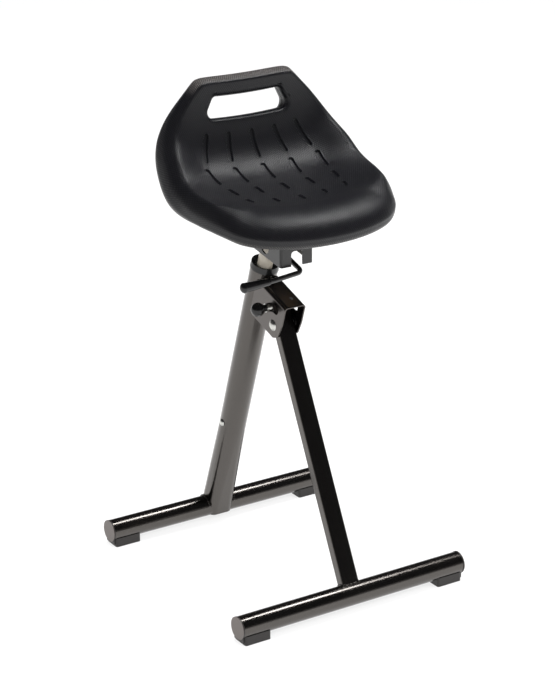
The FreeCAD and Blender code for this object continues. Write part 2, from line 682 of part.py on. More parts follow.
# Folding strut: rounded box tube from the front foot up into the bracket
def strut_shape():
    """Box tube with sleeve and pin holes, cut to sit on the front foot tube."""
    top = strut_to_pivot + val("strut_above_pivot")
    width, depth, wall, corner = (val(n) for n in ("strut_width", "strut_depth", "strut_wall", "strut_corner"))
    outer = Part.Face(rectangle_wire(width, depth, corner, 0)).extrude(V(0, 0, top))
    hollow = rectangle_wire(width - 2 * wall, depth - 2 * wall, corner - wall, -1)
    inner = Part.Face(hollow).extrude(V(0, 0, top + 2))
    tube = outer.cut(inner)
    foot = Part.makeCylinder(val("foot_tube_diameter") / 2, 2 * width, V(-width, 0, 0), V(1, 0, 0))
    sleeve = Part.makeCylinder(val("pivot_diameter") / 2 + val("pivot_sleeve_wall"), 2 * width,
                               V(-width, 0, strut_to_pivot), V(1, 0, 0))
    latch_z = strut_to_pivot + val("latch_radius")
    left = Part.makeCylinder(sleeve_radius, width, V(-width, 0, latch_z), V(1, 0, 0))
    right = Part.makeCylinder(val("latch_pin_diameter") / 2 + val("latch_pin_gap"), width,
                              V(0, 0, latch_z), V(1, 0, 0))
    return tube.cut(foot).cut(sleeve).cut(left).cut(right)


sleeve_radius = val("slot_width") / 2 - val("sleeve_gap")
in_strut(node(feature("strut_blank", strut_shape()), "folding_strut"))

PIVOT_ON_STRUT = STRUT_TO_PIVOT
LATCH_ON_STRUT = "(%s + latch_radius)" % STRUT_TO_PIVOT
pivot_sleeve = cut("pivot_sleeve_solid", cylinder("pivot_sleeve_outer", "pivot_diameter/2 + pivot_sleeve_wall",
                                                  "strut_width", "-strut_width/2", "0", PIVOT_ON_STRUT, "X"),
                   [cylinder("pivot_sleeve_bore", "pivot_diameter/2 + pivot_running_gap", "2*strut_width",
                             "-strut_width", "0", PIVOT_ON_STRUT, "X")])
in_strut(node(pivot_sleeve, "pivot_sleeve"))


def washer_pair():
    """Two plastic washers that fill the gaps between strut and bracket."""
    inner, outer = val("strut_width") / 2 + val("washer_gap"), val("bracket_width") / 2 - val("bracket_plate")
    outer -= val("washer_gap")
    rings = []
    for start, step in ((inner, outer - inner), (-inner, inner - outer)):
        centre = V(start, 0, strut_to_pivot)
        ring = Part.makeCylinder(val("washer_diameter") / 2, abs(step), centre, V(step, 0, 0))
        hole = Part.makeCylinder(val("pivot_diameter") / 2 + val("pivot_running_gap"), abs(step) + 2,
                                 V(start - math.copysign(1, step), 0, strut_to_pivot), V(step, 0, 0))
        rings.append(ring.cut(hole))
    return Part.makeCompound(rings)


in_strut(node(feature("washer_blank", washer_pair()), "pivot_washers"))


def plug_shape():
    """Moulded plug in the open top of the strut, with a thin crown over the end."""
    width, depth, wall, corner = (val(n) for n in ("strut_width", "strut_depth", "strut_wall", "strut_corner"))
    top, fit = strut_to_pivot + val("strut_above_pivot"), val("cap_fit")
    stem_low = strut_to_pivot + val("latch_radius") + sleeve_radius + val("sleeve_gap")
    stem_low = max(stem_low, top - val("plug_length"))
    stem = Part.Face(rectangle_wire(width - 2 * wall - 2 * fit, depth - 2 * wall - 2 * fit, corner - wall - fit,
                                    stem_low)).extrude(V(0, 0, top - stem_low))
    low = rectangle_wire(width, depth, corner, top)
    high = rectangle_wire(width - 2 * wall, depth - 2 * wall, corner - wall, top + val("plug_crown"))
    return stem.fuse(Part.makeLoft([low, high], True, True))


in_strut(node(feature("plug_blank", plug_shape()), "strut_top_plug"))

# Latch: sleeve in the strut wall, pin with its ball knob, retaining ring and spring
sleeve_inside = "(strut_width/2 - strut_wall)"
sleeve_outside = "(bracket_width/2 + sleeve_proud)"
sleeve_length = "%s - %s" % (sleeve_outside, sleeve_inside)
sleeve_blank = cylinder("latch_sleeve_outer", "slot_width/2 - sleeve_gap", sleeve_length, "-" + sleeve_outside,
                        "0", LATCH_ON_STRUT, "X")
sleeve_bore = cylinder("latch_sleeve_bore", "latch_pin_diameter/2 + latch_pin_gap", "2*bracket_width",
                       "-2*bracket_width", "0", LATCH_ON_STRUT, "X")
in_strut(node(cut("latch_sleeve_solid", sleeve_blank, [sleeve_bore]), "latch_sleeve"))
clip_x = val("strut_width") / 2 - val("strut_wall") - val("clip_thickness") - val("latch_nose") / 2


def latch_pin_shape():
    """Round pin with a chamfered nose and a groove for the retaining ring."""
    r, z = val("latch_pin_diameter") / 2, strut_to_pivot + val("latch_radius")
    start, end = -val("knob_centre"), val("bracket_width") / 2 + val("latch_nose")
    nose = r / 3
    pin = Part.makeCylinder(r, end - nose - start, V(start, 0, z), V(1, 0, 0))
    tip = Part.makeCone(r, r - nose, nose, V(end - nose, 0, z), V(1, 0, 0))
    groove = Part.makeCylinder(2 * r, val("clip_thickness"), V(clip_x, 0, z), V(1, 0, 0))
    core = Part.makeCylinder(r - 1, val("clip_thickness"), V(clip_x, 0, z), V(1, 0, 0))
    return pin.fuse(tip).cut(groove.cut(core))


def clip_shape():
    """Open retaining ring in the pin's groove."""
    r, z = val("latch_pin_diameter") / 2, strut_to_pivot + val("latch_radius")
    ring = Part.makeCylinder(val("clip_diameter") / 2, val("clip_thickness"), V(clip_x, 0, z), V(1, 0, 0))
    hole = Part.makeCylinder(r - 1, val("clip_thickness"), V(clip_x, 0, z), V(1, 0, 0))
    mouth = Part.makeBox(val("clip_thickness"), r, 2 * r, V(clip_x, -r / 2, z))
    return ring.cut(hole).cut(mouth)


def knob_shape():
    """Ball with a short neck, bored for the end of the pin."""
    z, centre = strut_to_pivot + val("latch_radius"), -val("knob_centre")
    ball = Part.makeSphere(val("knob_diameter") / 2, V(centre, 0, z))
    neck_r = val("knob_neck_diameter") / 2
    neck_end = -val("bracket_width") / 2 - val("sleeve_proud") - val("sleeve_gap")
    neck = Part.makeCylinder(neck_r, neck_end - centre, V(centre, 0, z), V(1, 0, 0))
    bore = Part.makeCylinder(val("latch_pin_diameter") / 2, 2 * val("knob_diameter"), V(centre, 0, z),
                             V(1, 0, 0))
    return ball.fuse(neck).cut(bore)


def biarc(start, heading, end, end_heading):
    """Two tangent arcs that join two points of a curve with its headings there."""
    span = end - start
    both = heading + end_heading
    a, b, c = 2 * (heading * end_heading - 1), -2 * (span * both), span * span
    reach = (-b - math.sqrt(b * b - 4 * a * c)) / (2 * a)
    middle = (start + heading * reach + end - end_heading * reach) * 0.5
    return [Part.Arc(start, arc_middle(start, heading, middle), middle).toShape(),
            Part.Arc(middle, arc_middle(end, end_heading * -1, middle), end).toShape()]


def arc_middle(p, u, q):
    """Middle of the arc that leaves p along u and ends at q."""
    chord = q - p
    side_way = chord - u * (chord * u)
    radius = chord.Length ** 2 / (2 * side_way.Length)
    centre = p + side_way.normalize() * radius
    return centre + ((p - centre) + (q - centre)).normalize() * radius


def coil_shape(start, end, radius, wire, turns, z):
    """Compression spring along X: a round wire swept along half-turn biarcs of a helix."""
    rise = (end - start - wire) / (2 * math.pi * turns)

    def point(angle):
        return V(start + wire / 2 + rise * angle, radius * math.cos(angle), z + radius * math.sin(angle))

    def heading(angle):
        return V(rise, -radius * math.sin(angle), radius * math.cos(angle)).normalize()

    edges = []
    for i in range(2 * turns):
        a0, a1 = i * math.pi, (i + 1) * math.pi
        edges += biarc(point(a0), heading(a0), point(a1), heading(a1))
    section = Part.Wire([Part.makeCircle(wire / 2, point(0), heading(0))])
    return Part.Wire(edges).makePipeShell([section], True, False)


in_strut(node(feature("latch_pin_blank", latch_pin_shape()), "latch_pin"))
in_strut(node(feature("clip_blank", clip_shape()), "latch_clip"))
in_strut(node(feature("knob_blank", knob_shape()), "latch_knob"))
spring_from = -val("strut_width") / 2 + val("strut_wall") + val("sleeve_gap")
spring_to = clip_x - val("sleeve_gap")
coil_radius = val("latch_pin_diameter") / 2 + val("latch_spring_wire")
in_strut(node(feature("coil_blank", coil_shape(spring_from, spring_to, coil_radius, val("latch_spring_wire"),
                                               int(val("latch_spring_turns")),
                                               strut_to_pivot + val("latch_radius"))), "latch_spring"))


# Seat carrier: folded sheet box under the seat, open below and behind
def carrier_shape():
    """Side plates, front plate with its notch, and the wide top plate with four screw holes."""
    half, plate = val("carrier_width") / 2, val("carrier_plate")
    front, rear, top, bottom = (val("carrier_" + n) for n in ("front", "rear", "top", "bottom"))
    bend = val("carrier_bend")

    def tray(inset, z0, z1):
        a, y0, y1 = half - inset, front + inset, rear + (1 if inset else 0)
        points = [V(-a, y0, z0), V(a, y0, z0), V(a, y1, z0), V(-a, y1, z0)]
        return Part.Face(rounded_polygon(points, [bend - inset, bend - inset, SHARP, SHARP])).extrude(
            V(0, 0, z1 - z0))

    solid = tray(0, bottom, top).cut(tray(plate, bottom - 1, top - plate))
    rise = math.tan(math.radians(val("carrier_slope")))
    below = bottom - 3 * plate
    wedge = Part.makePolygon([V(-half - 1, front - 1, below), V(-half - 1, rear + 2, below),
                              V(-half - 1, rear + 2, bottom + (rear + 2 - front) * rise),
                              V(-half - 1, front + bend, bottom + bend * rise),
                              V(-half - 1, front - 1, bottom), V(-half - 1, front - 1, below)])
    solid = solid.cut(Part.Face(wedge).extrude(V(2 * half + 2, 0, 0)))
    a, notch_r = val("notch_width") / 2, val("notch_width") / 4
    notch = [V(-a, front - 1, below), V(a, front - 1, below), V(a, front - 1, val("notch_top")),
             V(-a, front - 1, val("notch_top"))]
    solid = solid.cut(Part.Face(rounded_polygon(notch, [1, 1, notch_r, notch_r])).extrude(V(0, plate + 2, 0)))
    window = Part.makeCylinder(val("window_radius"), 2 * half + 2,
                               V(-half - 1, val("window_back"), val("window_height")), V(1, 0, 0))
    solid = solid.cut(window)
    wide, y0, y1 = val("carrier_flange_width") / 2, val("carrier_flange_front"), val("carrier_flange_rear")
    flange = Part.Face(rounded_polygon([V(-wide, y0, top - plate), V(wide, y0, top - plate),
                                        V(wide, y1, top - plate), V(-wide, y1, top - plate)],
                                       [bend * 2] * 4)).extrude(V(0, 0, plate))
    solid = solid.fuse(flange)
    for x, y in screw_places():
        solid = solid.cut(Part.makeCylinder(val("screw_hole") / 2, 4 * plate, V(x, y, top - 2 * plate)))
    pin = Part.makeCylinder(val("lever_pivot_diameter") / 2, 2 * half + 2,
                            V(-half - 1, val("lever_upright"), val("lever_pivot_height")), V(1, 0, 0))
    return solid.cut(pin).removeSplitter()


def screw_places():
    """Centres of the four seat screws, in plan."""
    middle = (val("carrier_flange_front") + val("carrier_flange_rear")) / 2
    return [(sx * val("screw_spacing_x") / 2, middle + sy * val("screw_spacing_y") / 2)
            for sx in (-1, 1) for sy in (-1, 1)]


node(feature("carrier_blank", carrier_shape()), "seat_carrier")


def socket_shape():
    """Cone socket on a plate square to the column, welded between the carrier's side plates."""
    up, half = val("socket_plate_up"), val("carrier_width") / 2 - val("carrier_plate")
    reach, plate = val("socket_plate_half"), val("carrier_plate")
    r_low, drop, length = val("spring_diameter") / 2, val("taper_drop"), val("socket_length")
    top = val("spring_high") - 2
    outer = Part.makeCylinder(r_low + val("socket_wall"), length, V(0, 0, top - length))
    blank = outer.fuse(Part.makeBox(2 * half, 2 * reach, plate, V(-half, -reach, up - plate / 2)))
    low = val("spring_high") - val("taper_length")
    bore = Part.makeCone(r_low, r_low - drop, val("taper_length"), V(0, 0, low))
    entry = Part.makeCylinder(r_low, length, V(0, 0, low - length))
    return blank.cut(bore).cut(entry)


in_column(node(feature("socket_blank", socket_shape()), "cone_socket"))

# Lever: bent rod, welded to a hub that turns on a pin across the carrier
PIVOT_PIN_Z = "lever_pivot_height"
pin_blank = fuse("lever_pin_blank", [
    cylinder("lever_pin_shank", "lever_pivot_diameter/2", "carrier_width + 3", "-carrier_width/2 - 1.5",
             "lever_upright", PIVOT_PIN_Z, "X"),
    cylinder("lever_pin_head", "lever_pivot_diameter/2 + 3", "2.5", "-carrier_width/2 - 2.5",
             "lever_upright", PIVOT_PIN_Z, "X"),
    cylinder("lever_pin_tail", "lever_pivot_diameter/2 + 2", "1.5", "carrier_width/2",
             "lever_upright", PIVOT_PIN_Z, "X")])
node(pin_blank, "lever_pivot_pin")


def bent_rod(points, radius, bend):
    """Round rod along straight runs joined by tangent arcs."""
    edges = []
    last = points[0]
    for before, corner, after in zip(points, points[1:], points[2:]):
        u, w = (before - corner).normalize(), (after - corner).normalize()
        half = u.getAngle(w) / 2
        set_back = bend / math.tan(half)
        bisector = (u + w).normalize()
        middle = corner + bisector * (bend / math.sin(half) - bend)
        edges.append(Part.LineSegment(last, corner + u * set_back).toShape())
        edges.append(Part.Arc(corner + u * set_back, middle, corner + w * set_back).toShape())
        last = corner + w * set_back
    edges.append(Part.LineSegment(last, points[-1]).toShape())
    path = Part.Wire(edges)
    direction = (points[1] - points[0]).normalize()
    section = Part.Wire([Part.makeCircle(radius, points[0], direction)])
    return path.makePipeShell([section], True, False)


side = math.radians(val("lever_side_angle"))
drop = math.radians(val("lever_side_drop"))
side_run = V(-math.cos(side), -math.sin(side), -math.sin(drop)).normalize()
lift = math.radians(val("grip_rise") - val("lever_side_drop"))
grip_run = V(side_run.x, side_run.y, math.tan(lift)).normalize()
lever_corner = V(0, val("lever_corner_front"), val("lever_corner_height"))
rod_knee = lever_corner + side_run * (val("grip_start") - val("lever_diameter"))
grip_root = rod_knee + grip_run * val("lever_diameter")
rod_rise = math.tan(math.radians(val("lever_rise")))
upright_low = V(0, val("lever_upright"), lever_corner.z + (val("lever_upright") - lever_corner.y) * rod_rise)
lever_axis = V(0, val("lever_upright"), val("lever_pivot_height"))
valve_top = column_point(0, val("spring_high") + val("valve_proud"))


def lever_shape():
    """The rod with its hub and the finger over the valve pin."""
    grip_end = grip_root + grip_run * (val("grip_length") - val("grip_end_wall"))
    rod = bent_rod([grip_end, rod_knee, lever_corner, upright_low, lever_axis], val("lever_diameter") / 2,
                   val("lever_bend"))
    wide, hub_r = val("lever_hub_width"), val("lever_hub_diameter") / 2
    hub = Part.makeCylinder(hub_r, wide, lever_axis - V(wide / 2, 0, 0), V(1, 0, 0))
    thick, width = val("finger_thickness"), val("finger_width")
    length = valve_top.y - lever_axis.y + width / 2
    lift = valve_top.z + val("finger_gap") + val("valve_diameter") / 2 * math.sin(LEAN)
    finger = Part.makeBox(width, length, thick, V(-width / 2, lever_axis.y, lift))
    bore = Part.makeCylinder(val("lever_pivot_diameter") / 2 + val("lever_pivot_gap"), 2 * wide,
                             lever_axis - V(wide, 0, 0), V(1, 0, 0))
    return rod.fuse([hub, finger]).cut(bore).removeSplitter()


def grip_shape():
    """Tapered plastic grip with a rounded outer end, bored for the rod."""
    r0, r1, length = val("grip_inner_diameter") / 2, val("grip_outer_diameter") / 2, val("grip_length")
    crown = r1 * val("grip_crown")
    body = Part.makeCone(r0, r1, length - crown, grip_root, grip_run)
    ball_r = (r1 ** 2 + crown ** 2) / (2 * crown)
    end = grip_root + grip_run * (length - crown)
    ball = Part.makeSphere(ball_r, end - grip_run * (ball_r - crown))
    dome = ball.common(Part.makeCylinder(2 * r1, 2 * crown, end, grip_run))
    bore = Part.makeCylinder(val("lever_diameter") / 2, length - val("grip_end_wall"), grip_root, grip_run)
    return body.fuse(dome).cut(bore)


node(feature("lever_blank", lever_shape()), "release_lever")
node(feature("grip_blank", grip_shape()), "lever_grip")

# Seat: moulded foam over a plywood plate
PAN = val("pan_length")
BEND = PAN + val("bend_length")
BACK = BEND + val("back_length")
ANGLES = [(0, val("pan_start_angle")), (PAN, val("pan_end_angle")), (BEND, val("bend_end_angle")),
          (BACK, val("back_end_angle"))]


def top_line(distance):
    """Point and heading on the seat's top line in the middle plane, at a distance from its start.

    The heading grows evenly along each of the three runs, so the line is three tangent arcs.
    """
    y, z = val("pan_start_y"), val("pan_start_z")
    heading = math.radians(ANGLES[0][1])
    if distance <= 0:
        return y + distance * math.cos(heading), z + distance * math.sin(heading), heading
    for (s0, a0), (s1, a1) in zip(ANGLES, ANGLES[1:]):
        run = min(distance, s1) - s0
        turn = math.radians(a1 - a0) * run / (s1 - s0)
        h0 = math.radians(a0)
        radius = (s1 - s0) / math.radians(a1 - a0)
        y += radius * (math.sin(h0 + turn) - math.sin(h0))
        z += radius * (math.cos(h0) - math.cos(h0 + turn))
        heading = h0 + turn
        if distance <= s1:
            break
    return y, z, heading


BEFORE = -80  # searches along the top line begin this far in front of its start


def search(test, low, high):
    """Distance along the top line where a rising test turns positive."""
    for _ in range(40):
        middle = (low + high) / 2
        low, high = (low, middle) if test(middle) > 0 else (middle, high)
    return (low + high) / 2


def dish(x):
    """Rise of the seat's surface away from the middle plane, rolled over at the outer side."""
    rise = val("seat_dish") * (x / val("dish_reach")) ** 2
    out = max(0.0, abs(x) - val("seat_half_width") + val("side_roll")) / val("side_roll")
    return rise - val("side_roll_drop") * (1 - math.sqrt(max(0.0, 1 - val("side_roll_arc") * out ** 2)))


def front_edge(x):
    """Fore and aft place of the seat's foremost line: a superellipse in plan."""
    power, reach = val("seat_corner_power"), val("seat_widest") - val("seat_front")
    share = max(0.0, 1 - (abs(x) / (val("seat_half_width") + 1)) ** power)
    return val("seat_widest") - reach * share ** (1 / power)


def edge_height(x):
    """Height of the seat's upper edge: level over the handle, then down the straight sides."""
    fall = max(0.0, abs(x) - val("handle_half_width")) * val("side_slope")
    return top_line(BACK)[1] - fall - max(0.0, abs(x) - val("side_end"))


def tuck(x):
    """How far the underside is drawn up near the side edge."""
    start = val("tuck_start") * val("seat_half_width")
    share = max(0.0, abs(x) - start) / (val("seat_half_width") - start)
    return val("side_tuck") * share ** 2


def belly(x, distance):
    """Extra thickness under the bend, so that the underside stays level over the plywood plate."""
    across = max(0.0, 1 - (x / (val("belly_reach") * val("seat_half_width"))) ** 2)
    along = (distance - PAN) / (BEND - PAN)
    if not 0 < along < 1:
        return 0.0
    return val("belly") * across * math.sin(math.pi * along ** val("belly_lean")) ** 2


def seat_section(x):
    """Closed outline of the seat in the plane at x: nine arcs, from the nose over the top and back."""
    nose_y = front_edge(x)
    nose_z = val("seat_nose_height") + tuck(x)
    roll = val("roll_length") * (1 - val("roll_side_loss") * (x / val("seat_half_width")) ** 2)
    start = search(lambda s: top_line(s)[0] - nose_y - roll, BEFORE, BACK)
    end = search(lambda s: top_line(s)[1] + dish(x) - edge_height(x), BEFORE, BACK)
    end = max(end, start + val("least_surface"))

    def under(y):
        return val("seat_low_front") + val("seat_low_slope") * (y - val("seat_front")) + tuck(x)

    def top(share):
        y, z, _ = top_line(start + (end - start) * share)
        return V(x, y, z + dish(x))

    def thickness(distance):
        share = min(1.0, max(0.0, (distance - PAN) / (BEND - PAN)))
        pan_y, pan_z, _ = top_line(min(distance, PAN))
        pan = pan_z + dish(x) - under(pan_y)
        shoulder, handle = val("shoulder_thickness"), val("back_thickness")
        upper = shoulder + (handle - shoulder) * max(0.0, distance - BEND) / (BACK - BEND)
        upper += val("wing_extra") * (x / val("seat_half_width")) ** 2
        ease = share * share * (3 - 2 * share)
        return pan + (upper - pan) * ease + belly(x, distance)

    def back(share):
        distance = start + (end - start) * share
        y, z, heading = top_line(distance)
        t = thickness(distance)
        return V(x, y + t * math.sin(heading), z + dish(x) - t * math.cos(heading))

    last = end
    crest_heading = top_line(last)[2]
    along = V(0, math.cos(crest_heading), math.sin(crest_heading))
    outward = min(1.0, max(0.0, abs(x) - val("handle_half_width")) / val("handle_half_width") * 3)
    crown = val("handle_crown") + (val("wing_crown") - val("handle_crown")) * outward
    crest = (top(1) + back(1)) * 0.5 + along * (thickness(last) * crown)
    nose = V(x, nose_y, nose_z)
    under_y = nose_y + val("nose_under")
    under_start = V(x, under_y, under(under_y))
    joint_a, joint_b = val("first_joint"), val("second_joint")
    rise = top(0).z - nose_z
    points = [
        (nose, V(x, nose_y + val("nose_back") * roll, nose_z + val("nose_fullness") * rise), top(0)),
        (top(0), top(joint_a / 2), top(joint_a)),
        (top(joint_a), top((joint_a + joint_b) / 2), top(joint_b)),
        (top(joint_b), top((joint_b + 1) / 2), top(1)),
        (top(1), crest, back(1)),
        (back(1), back((joint_b + 1) / 2), back(joint_b)),
        (back(joint_b), back((joint_a + joint_b) / 2), back(joint_a)),
        (back(joint_a), (back(joint_a) + under_start) * 0.5 - V(0, 0, val("under_sag")), under_start),
        (under_start, V(x, nose_y + val("lip_round"), nose_z - val("lip_fullness") * (nose_z - under_start.z)),
         nose),
    ]
    return Part.Wire([Part.Arc(*three).toShape() for three in points])


# Sections of each wing, as shares of the way from the handle's width to the side
WING_STATIONS = (0, 0.3, 0.6, 0.82, 0.94, 0.985, 1)


def seat_blank():
    """Three lofts side by side: the handle's width in the middle and a wing at each side."""
    level, wide = val("handle_half_width"), val("seat_half_width")
    middle = [level * share for share in (-1, 0, 1)]
    wing = [level + (wide - level) * share for share in WING_STATIONS]
    parts = [Part.makeLoft([seat_section(x) for x in middle], True, False)]
    for sign in (-1, 1):
        parts.append(Part.makeLoft([seat_section(sign * x) for x in wing], True, False))
    return parts[0].fuse(parts[1:]).removeSplitter()


def slot_outline(y, grow):
    """Trapezoid with rounded corners, in the plane at y."""
    low, high = val("slot_bottom") - grow, val("slot_top") + grow
    wide, narrow = val("slot_bottom_half") + grow, val("slot_top_half") + grow
    points = [V(-wide, y, low), V(wide, y, low), V(narrow, y, high), V(-narrow, y, high)]
    return rounded_polygon(points, [val("slot_corner") + grow] * 4)


def handle_slot():
    """Opening through the back, wider at both faces where its lips are rounded off."""
    lip, depth = val("slot_lip"), val("slot_lip_depth")
    front, rear = top_line((BEND + BACK) / 2)[0], top_line(BACK)[0] + val("back_thickness")
    reach = 2 * val("back_thickness")
    throat = Part.Face(slot_outline(front - reach, 0)).extrude(V(0, rear - front + 2 * reach, 0))
    lips = []
    for face, sign in ((front, -1), (rear, 1)):
        mouth = Part.makeLoft([slot_outline(face - sign * depth, 0), slot_outline(face, lip)], True, True)
        beyond = Part.Face(slot_outline(face, lip)).extrude(V(0, sign * reach, 0))
        lips += [mouth, beyond]
    return throat.fuse(lips)


# Rows of grooves from the top down: x at both ends and y at both ends, for one groove of each kind
GROOVES = (
    ((0, 0, 97, 70), (46.9, 55.9, 97, 70), (91.8, 106.7, 97, 70)),
    ((0, 0, 60.5, 20), (57.1, 54, 60.5, 20), (112.9, 109.6, 60.5, 20)),
    ((0, 0, 2, -26), (52, 52, 2, -26), (105, 102, 2, -26)),
    ((0, 0, -52, -77), (49.4, 48, -51, -71), (98, 94.4, -42, -62.5)),
    ((0, 0, -100.5, -106.5), (46.6, 46.5, -100, -106), (90.7, 90.5, -90, -96)),
)


def groove_bar(x0, x1, y0, y1):
    """Cutter for one groove: a bar that follows the seat's surface in three straight spans."""
    s0, s1 = [search(lambda s, y=y: top_line(s)[0] - y, BEFORE, BEND) for y in (y0, y1)]
    half, sections = val("groove_width") / 2, []
    for share in (0, 1 / 3, 2 / 3, 1):
        x = x0 + (x1 - x0) * share
        y, z, heading = top_line(s0 + (s1 - s0) * share)
        normal = V(0, -math.sin(heading), math.cos(heading))
        foot = V(x, y, z + dish(x)) - normal * val("groove_depth")
        head = foot + normal * 2 * val("groove_depth")
        side = V(half, 0, 0)
        sections.append(Part.makePolygon([foot - side, foot + side, head + side, head - side, foot - side]))
    return Part.makeLoft(sections, True, True)


def groove_bars():
    """Cutters for every groove, mirrored about the middle plane."""
    bars = []
    for row in GROOVES:
        for x0, x1, y0, y1 in row:
            bars.append(groove_bar(x0, x1, y0, y1))
            if x0:
                bars.append(groove_bar(-x0, -x1, y0, y1))
    return bars


def insert_shape(gap, z0, z1):
    """Rounded plate, grown by a gap, between two heights."""
    a, y0 = val("insert_width") / 2 + gap, val("insert_front") - gap
    y1 = y0 + val("insert_length") + 2 * gap
    points = [V(-a, y0, z0), V(a, y0, z0), V(a, y1, z0), V(-a, y1, z0)]
    return Part.Face(rounded_polygon(points, [val("insert_corner")] * 4)).extrude(V(0, 0, z1 - z0))


insert_low = val("carrier_top")
insert_high = insert_low + val("insert_thickness")
seat = seat_blank().cut(handle_slot())
seat = seat.cut(insert_shape(val("insert_gap"), insert_low - 60, insert_high + val("insert_gap")))
seat = seat.cut(groove_bars())
node(feature("seat_solid", seat), "seat_pad")
insert = insert_shape(0, insert_low, insert_high)
for px, py in screw_places():
    insert = insert.cut(Part.makeCylinder(val("screw_diameter") / 2, 2 * val("insert_thickness"),
                                          V(px, py, insert_low - 1)))
node(feature("insert_solid", insert), "seat_insert_plate")


def seat_screws():
    """Four hexagon screws up through the carrier into the plywood plate."""
    top, low = insert_high - 1, val("carrier_top") - val("carrier_plate")
    screws = []
    for x, y in screw_places():
        shank = Part.makeCylinder(val("screw_diameter") / 2, top - low, V(x, y, low))
        corners = [V(x + val("screw_head_diameter") / 2 * math.cos(math.radians(60 * i)),
                     y + val("screw_head_diameter") / 2 * math.sin(math.radians(60 * i)),
                     low - val("screw_head_height")) for i in range(7)]
        head = Part.Face(Part.makePolygon(corners)).extrude(V(0, 0, val("screw_head_height")))
        screws.append(shank.fuse(head))
    return Part.makeCompound(screws)


node(feature("screws_solid", seat_screws()), "seat_screws")

# Checks and files
doc.recompute()
for obj in doc.Objects:
    if any(word in obj.State for word in ("Invalid", "Error")):
        raise RuntimeError("failed object: %s %s" % (obj.Name, obj.State))
for piece in NODES:
    if piece.Shape.isNull() or not piece.Shape.isValid():
        raise RuntimeError("bad shape: %s" % piece.Label)
    if not piece.Shape.Solids:
        raise RuntimeError("no solid: %s" % piece.Label)
for old in os.listdir("parts"):
    if old.endswith(".step"):
        os.remove(os.path.join("parts", old))
for piece in NODES:
    piece.Shape.exportStep("parts/%s.step" % piece.Label)
    print("%-24s solids %d  volume %10.1f" % (piece.Label, len(piece.Shape.Solids), piece.Shape.Volume))
print("strut lean %.3f  fold angle %.3f  pivot y %.3f z %.3f" % (strut_lean, fold_angle, pivot.y, pivot.z))
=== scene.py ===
"""Looks of the folding perch stool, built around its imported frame.

The frame carries the steel, the gas spring and the mechanism. This script adds the moulded seat with
its grooves and crease, the weld beads, a finish for every piece, and a plain studio.
"""

import enum
import json
import logging
import math
from dataclasses import dataclass, field
from typing import Any, Dict, List, NamedTuple, Optional, Tuple

import bmesh
import bpy
import numpy as np
from mathutils import Matrix, Vector

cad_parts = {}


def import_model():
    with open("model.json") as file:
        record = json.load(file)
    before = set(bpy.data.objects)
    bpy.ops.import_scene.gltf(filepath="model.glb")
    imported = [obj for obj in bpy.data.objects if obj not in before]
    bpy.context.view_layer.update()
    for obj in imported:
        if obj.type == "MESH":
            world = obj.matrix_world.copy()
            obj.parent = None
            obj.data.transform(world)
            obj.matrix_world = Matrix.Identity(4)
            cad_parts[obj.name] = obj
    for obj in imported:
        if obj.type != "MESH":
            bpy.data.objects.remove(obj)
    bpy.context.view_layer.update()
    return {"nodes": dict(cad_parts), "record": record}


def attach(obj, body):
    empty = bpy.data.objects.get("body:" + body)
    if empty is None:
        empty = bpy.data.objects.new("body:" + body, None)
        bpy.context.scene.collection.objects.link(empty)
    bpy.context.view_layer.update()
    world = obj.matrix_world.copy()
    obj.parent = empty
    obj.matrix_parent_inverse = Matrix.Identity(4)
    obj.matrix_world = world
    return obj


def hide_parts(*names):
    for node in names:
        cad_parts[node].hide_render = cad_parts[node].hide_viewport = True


log = logging.getLogger("perch_stool")
MM = 0.001
# Metres, times its scale, over which a wave texture repeats once
WAVE_REPEAT = 2 * math.pi / 20
Array = np.ndarray


# Small tools


def linear(hex_colour: str) -> Tuple[float, float, float, float]:
    """Turn an sRGB hex colour into linear RGBA.

    Args:
        hex_colour: Six hex digits after a hash sign.

    Returns:
        Red, green, blue in linear light, and an alpha of one.
    """
    channels = [int(hex_colour[i:i + 2], 16) / 255 for i in (1, 3, 5)]
    bent = [c / 12.92 if c <= 0.04045 else ((c + 0.055) / 1.055) ** 2.4 for c in channels]
    return (bent[0], bent[1], bent[2], 1.0)


def add_node(tree: bpy.types.NodeTree, kind: str, settings: Optional[Dict[str, Any]] = None,
             links: Optional[Dict[str, Any]] = None) -> bpy.types.Node:
    """Add one shader node with its settings and links.

    Args:
        tree: The material's node tree.
        kind: The node's type name without its ShaderNode prefix.
        settings: Node properties, input values where the name is an input, and under "ramp" the
            (place, colour) pairs of a colour ramp.
        links: Input name, or its number as text, to the output socket that feeds it.

    Returns:
        The new node.
    """
    node = tree.nodes.new("ShaderNode" + kind)
    for name, value in (settings or {}).items():
        if name == "ramp":
            for element, (place, colour) in zip(node.color_ramp.elements, value):
                element.position, element.color = place, colour
        elif name in node.inputs:
            node.inputs[name].default_value = value
        else:
            setattr(node, name, value)
    for name, socket in (links or {}).items():
        target = node.inputs[int(name)] if name.isdigit() else node.inputs[name]
        tree.links.new(socket, target)
    return node


def smooth_step(value: Array, low: float, high: float) -> Array:
    """Ease from 0 at low to 1 at high with level ends: 3t^2 - 2t^3.

    Args:
        value: Where to look.
        low: Where the step begins.
        high: Where the step ends.

    Returns:
        The share, 0 to 1.
    """
    share = np.clip((np.asarray(value, float) - low) / (high - low), 0, 1)
    return share * share * (3 - 2 * share)


def unit(vectors: Array) -> Array:
    """Scale vectors in the last axis to length one."""
    return vectors / np.maximum(np.linalg.norm(vectors, axis=-1, keepdims=True), 1e-12)


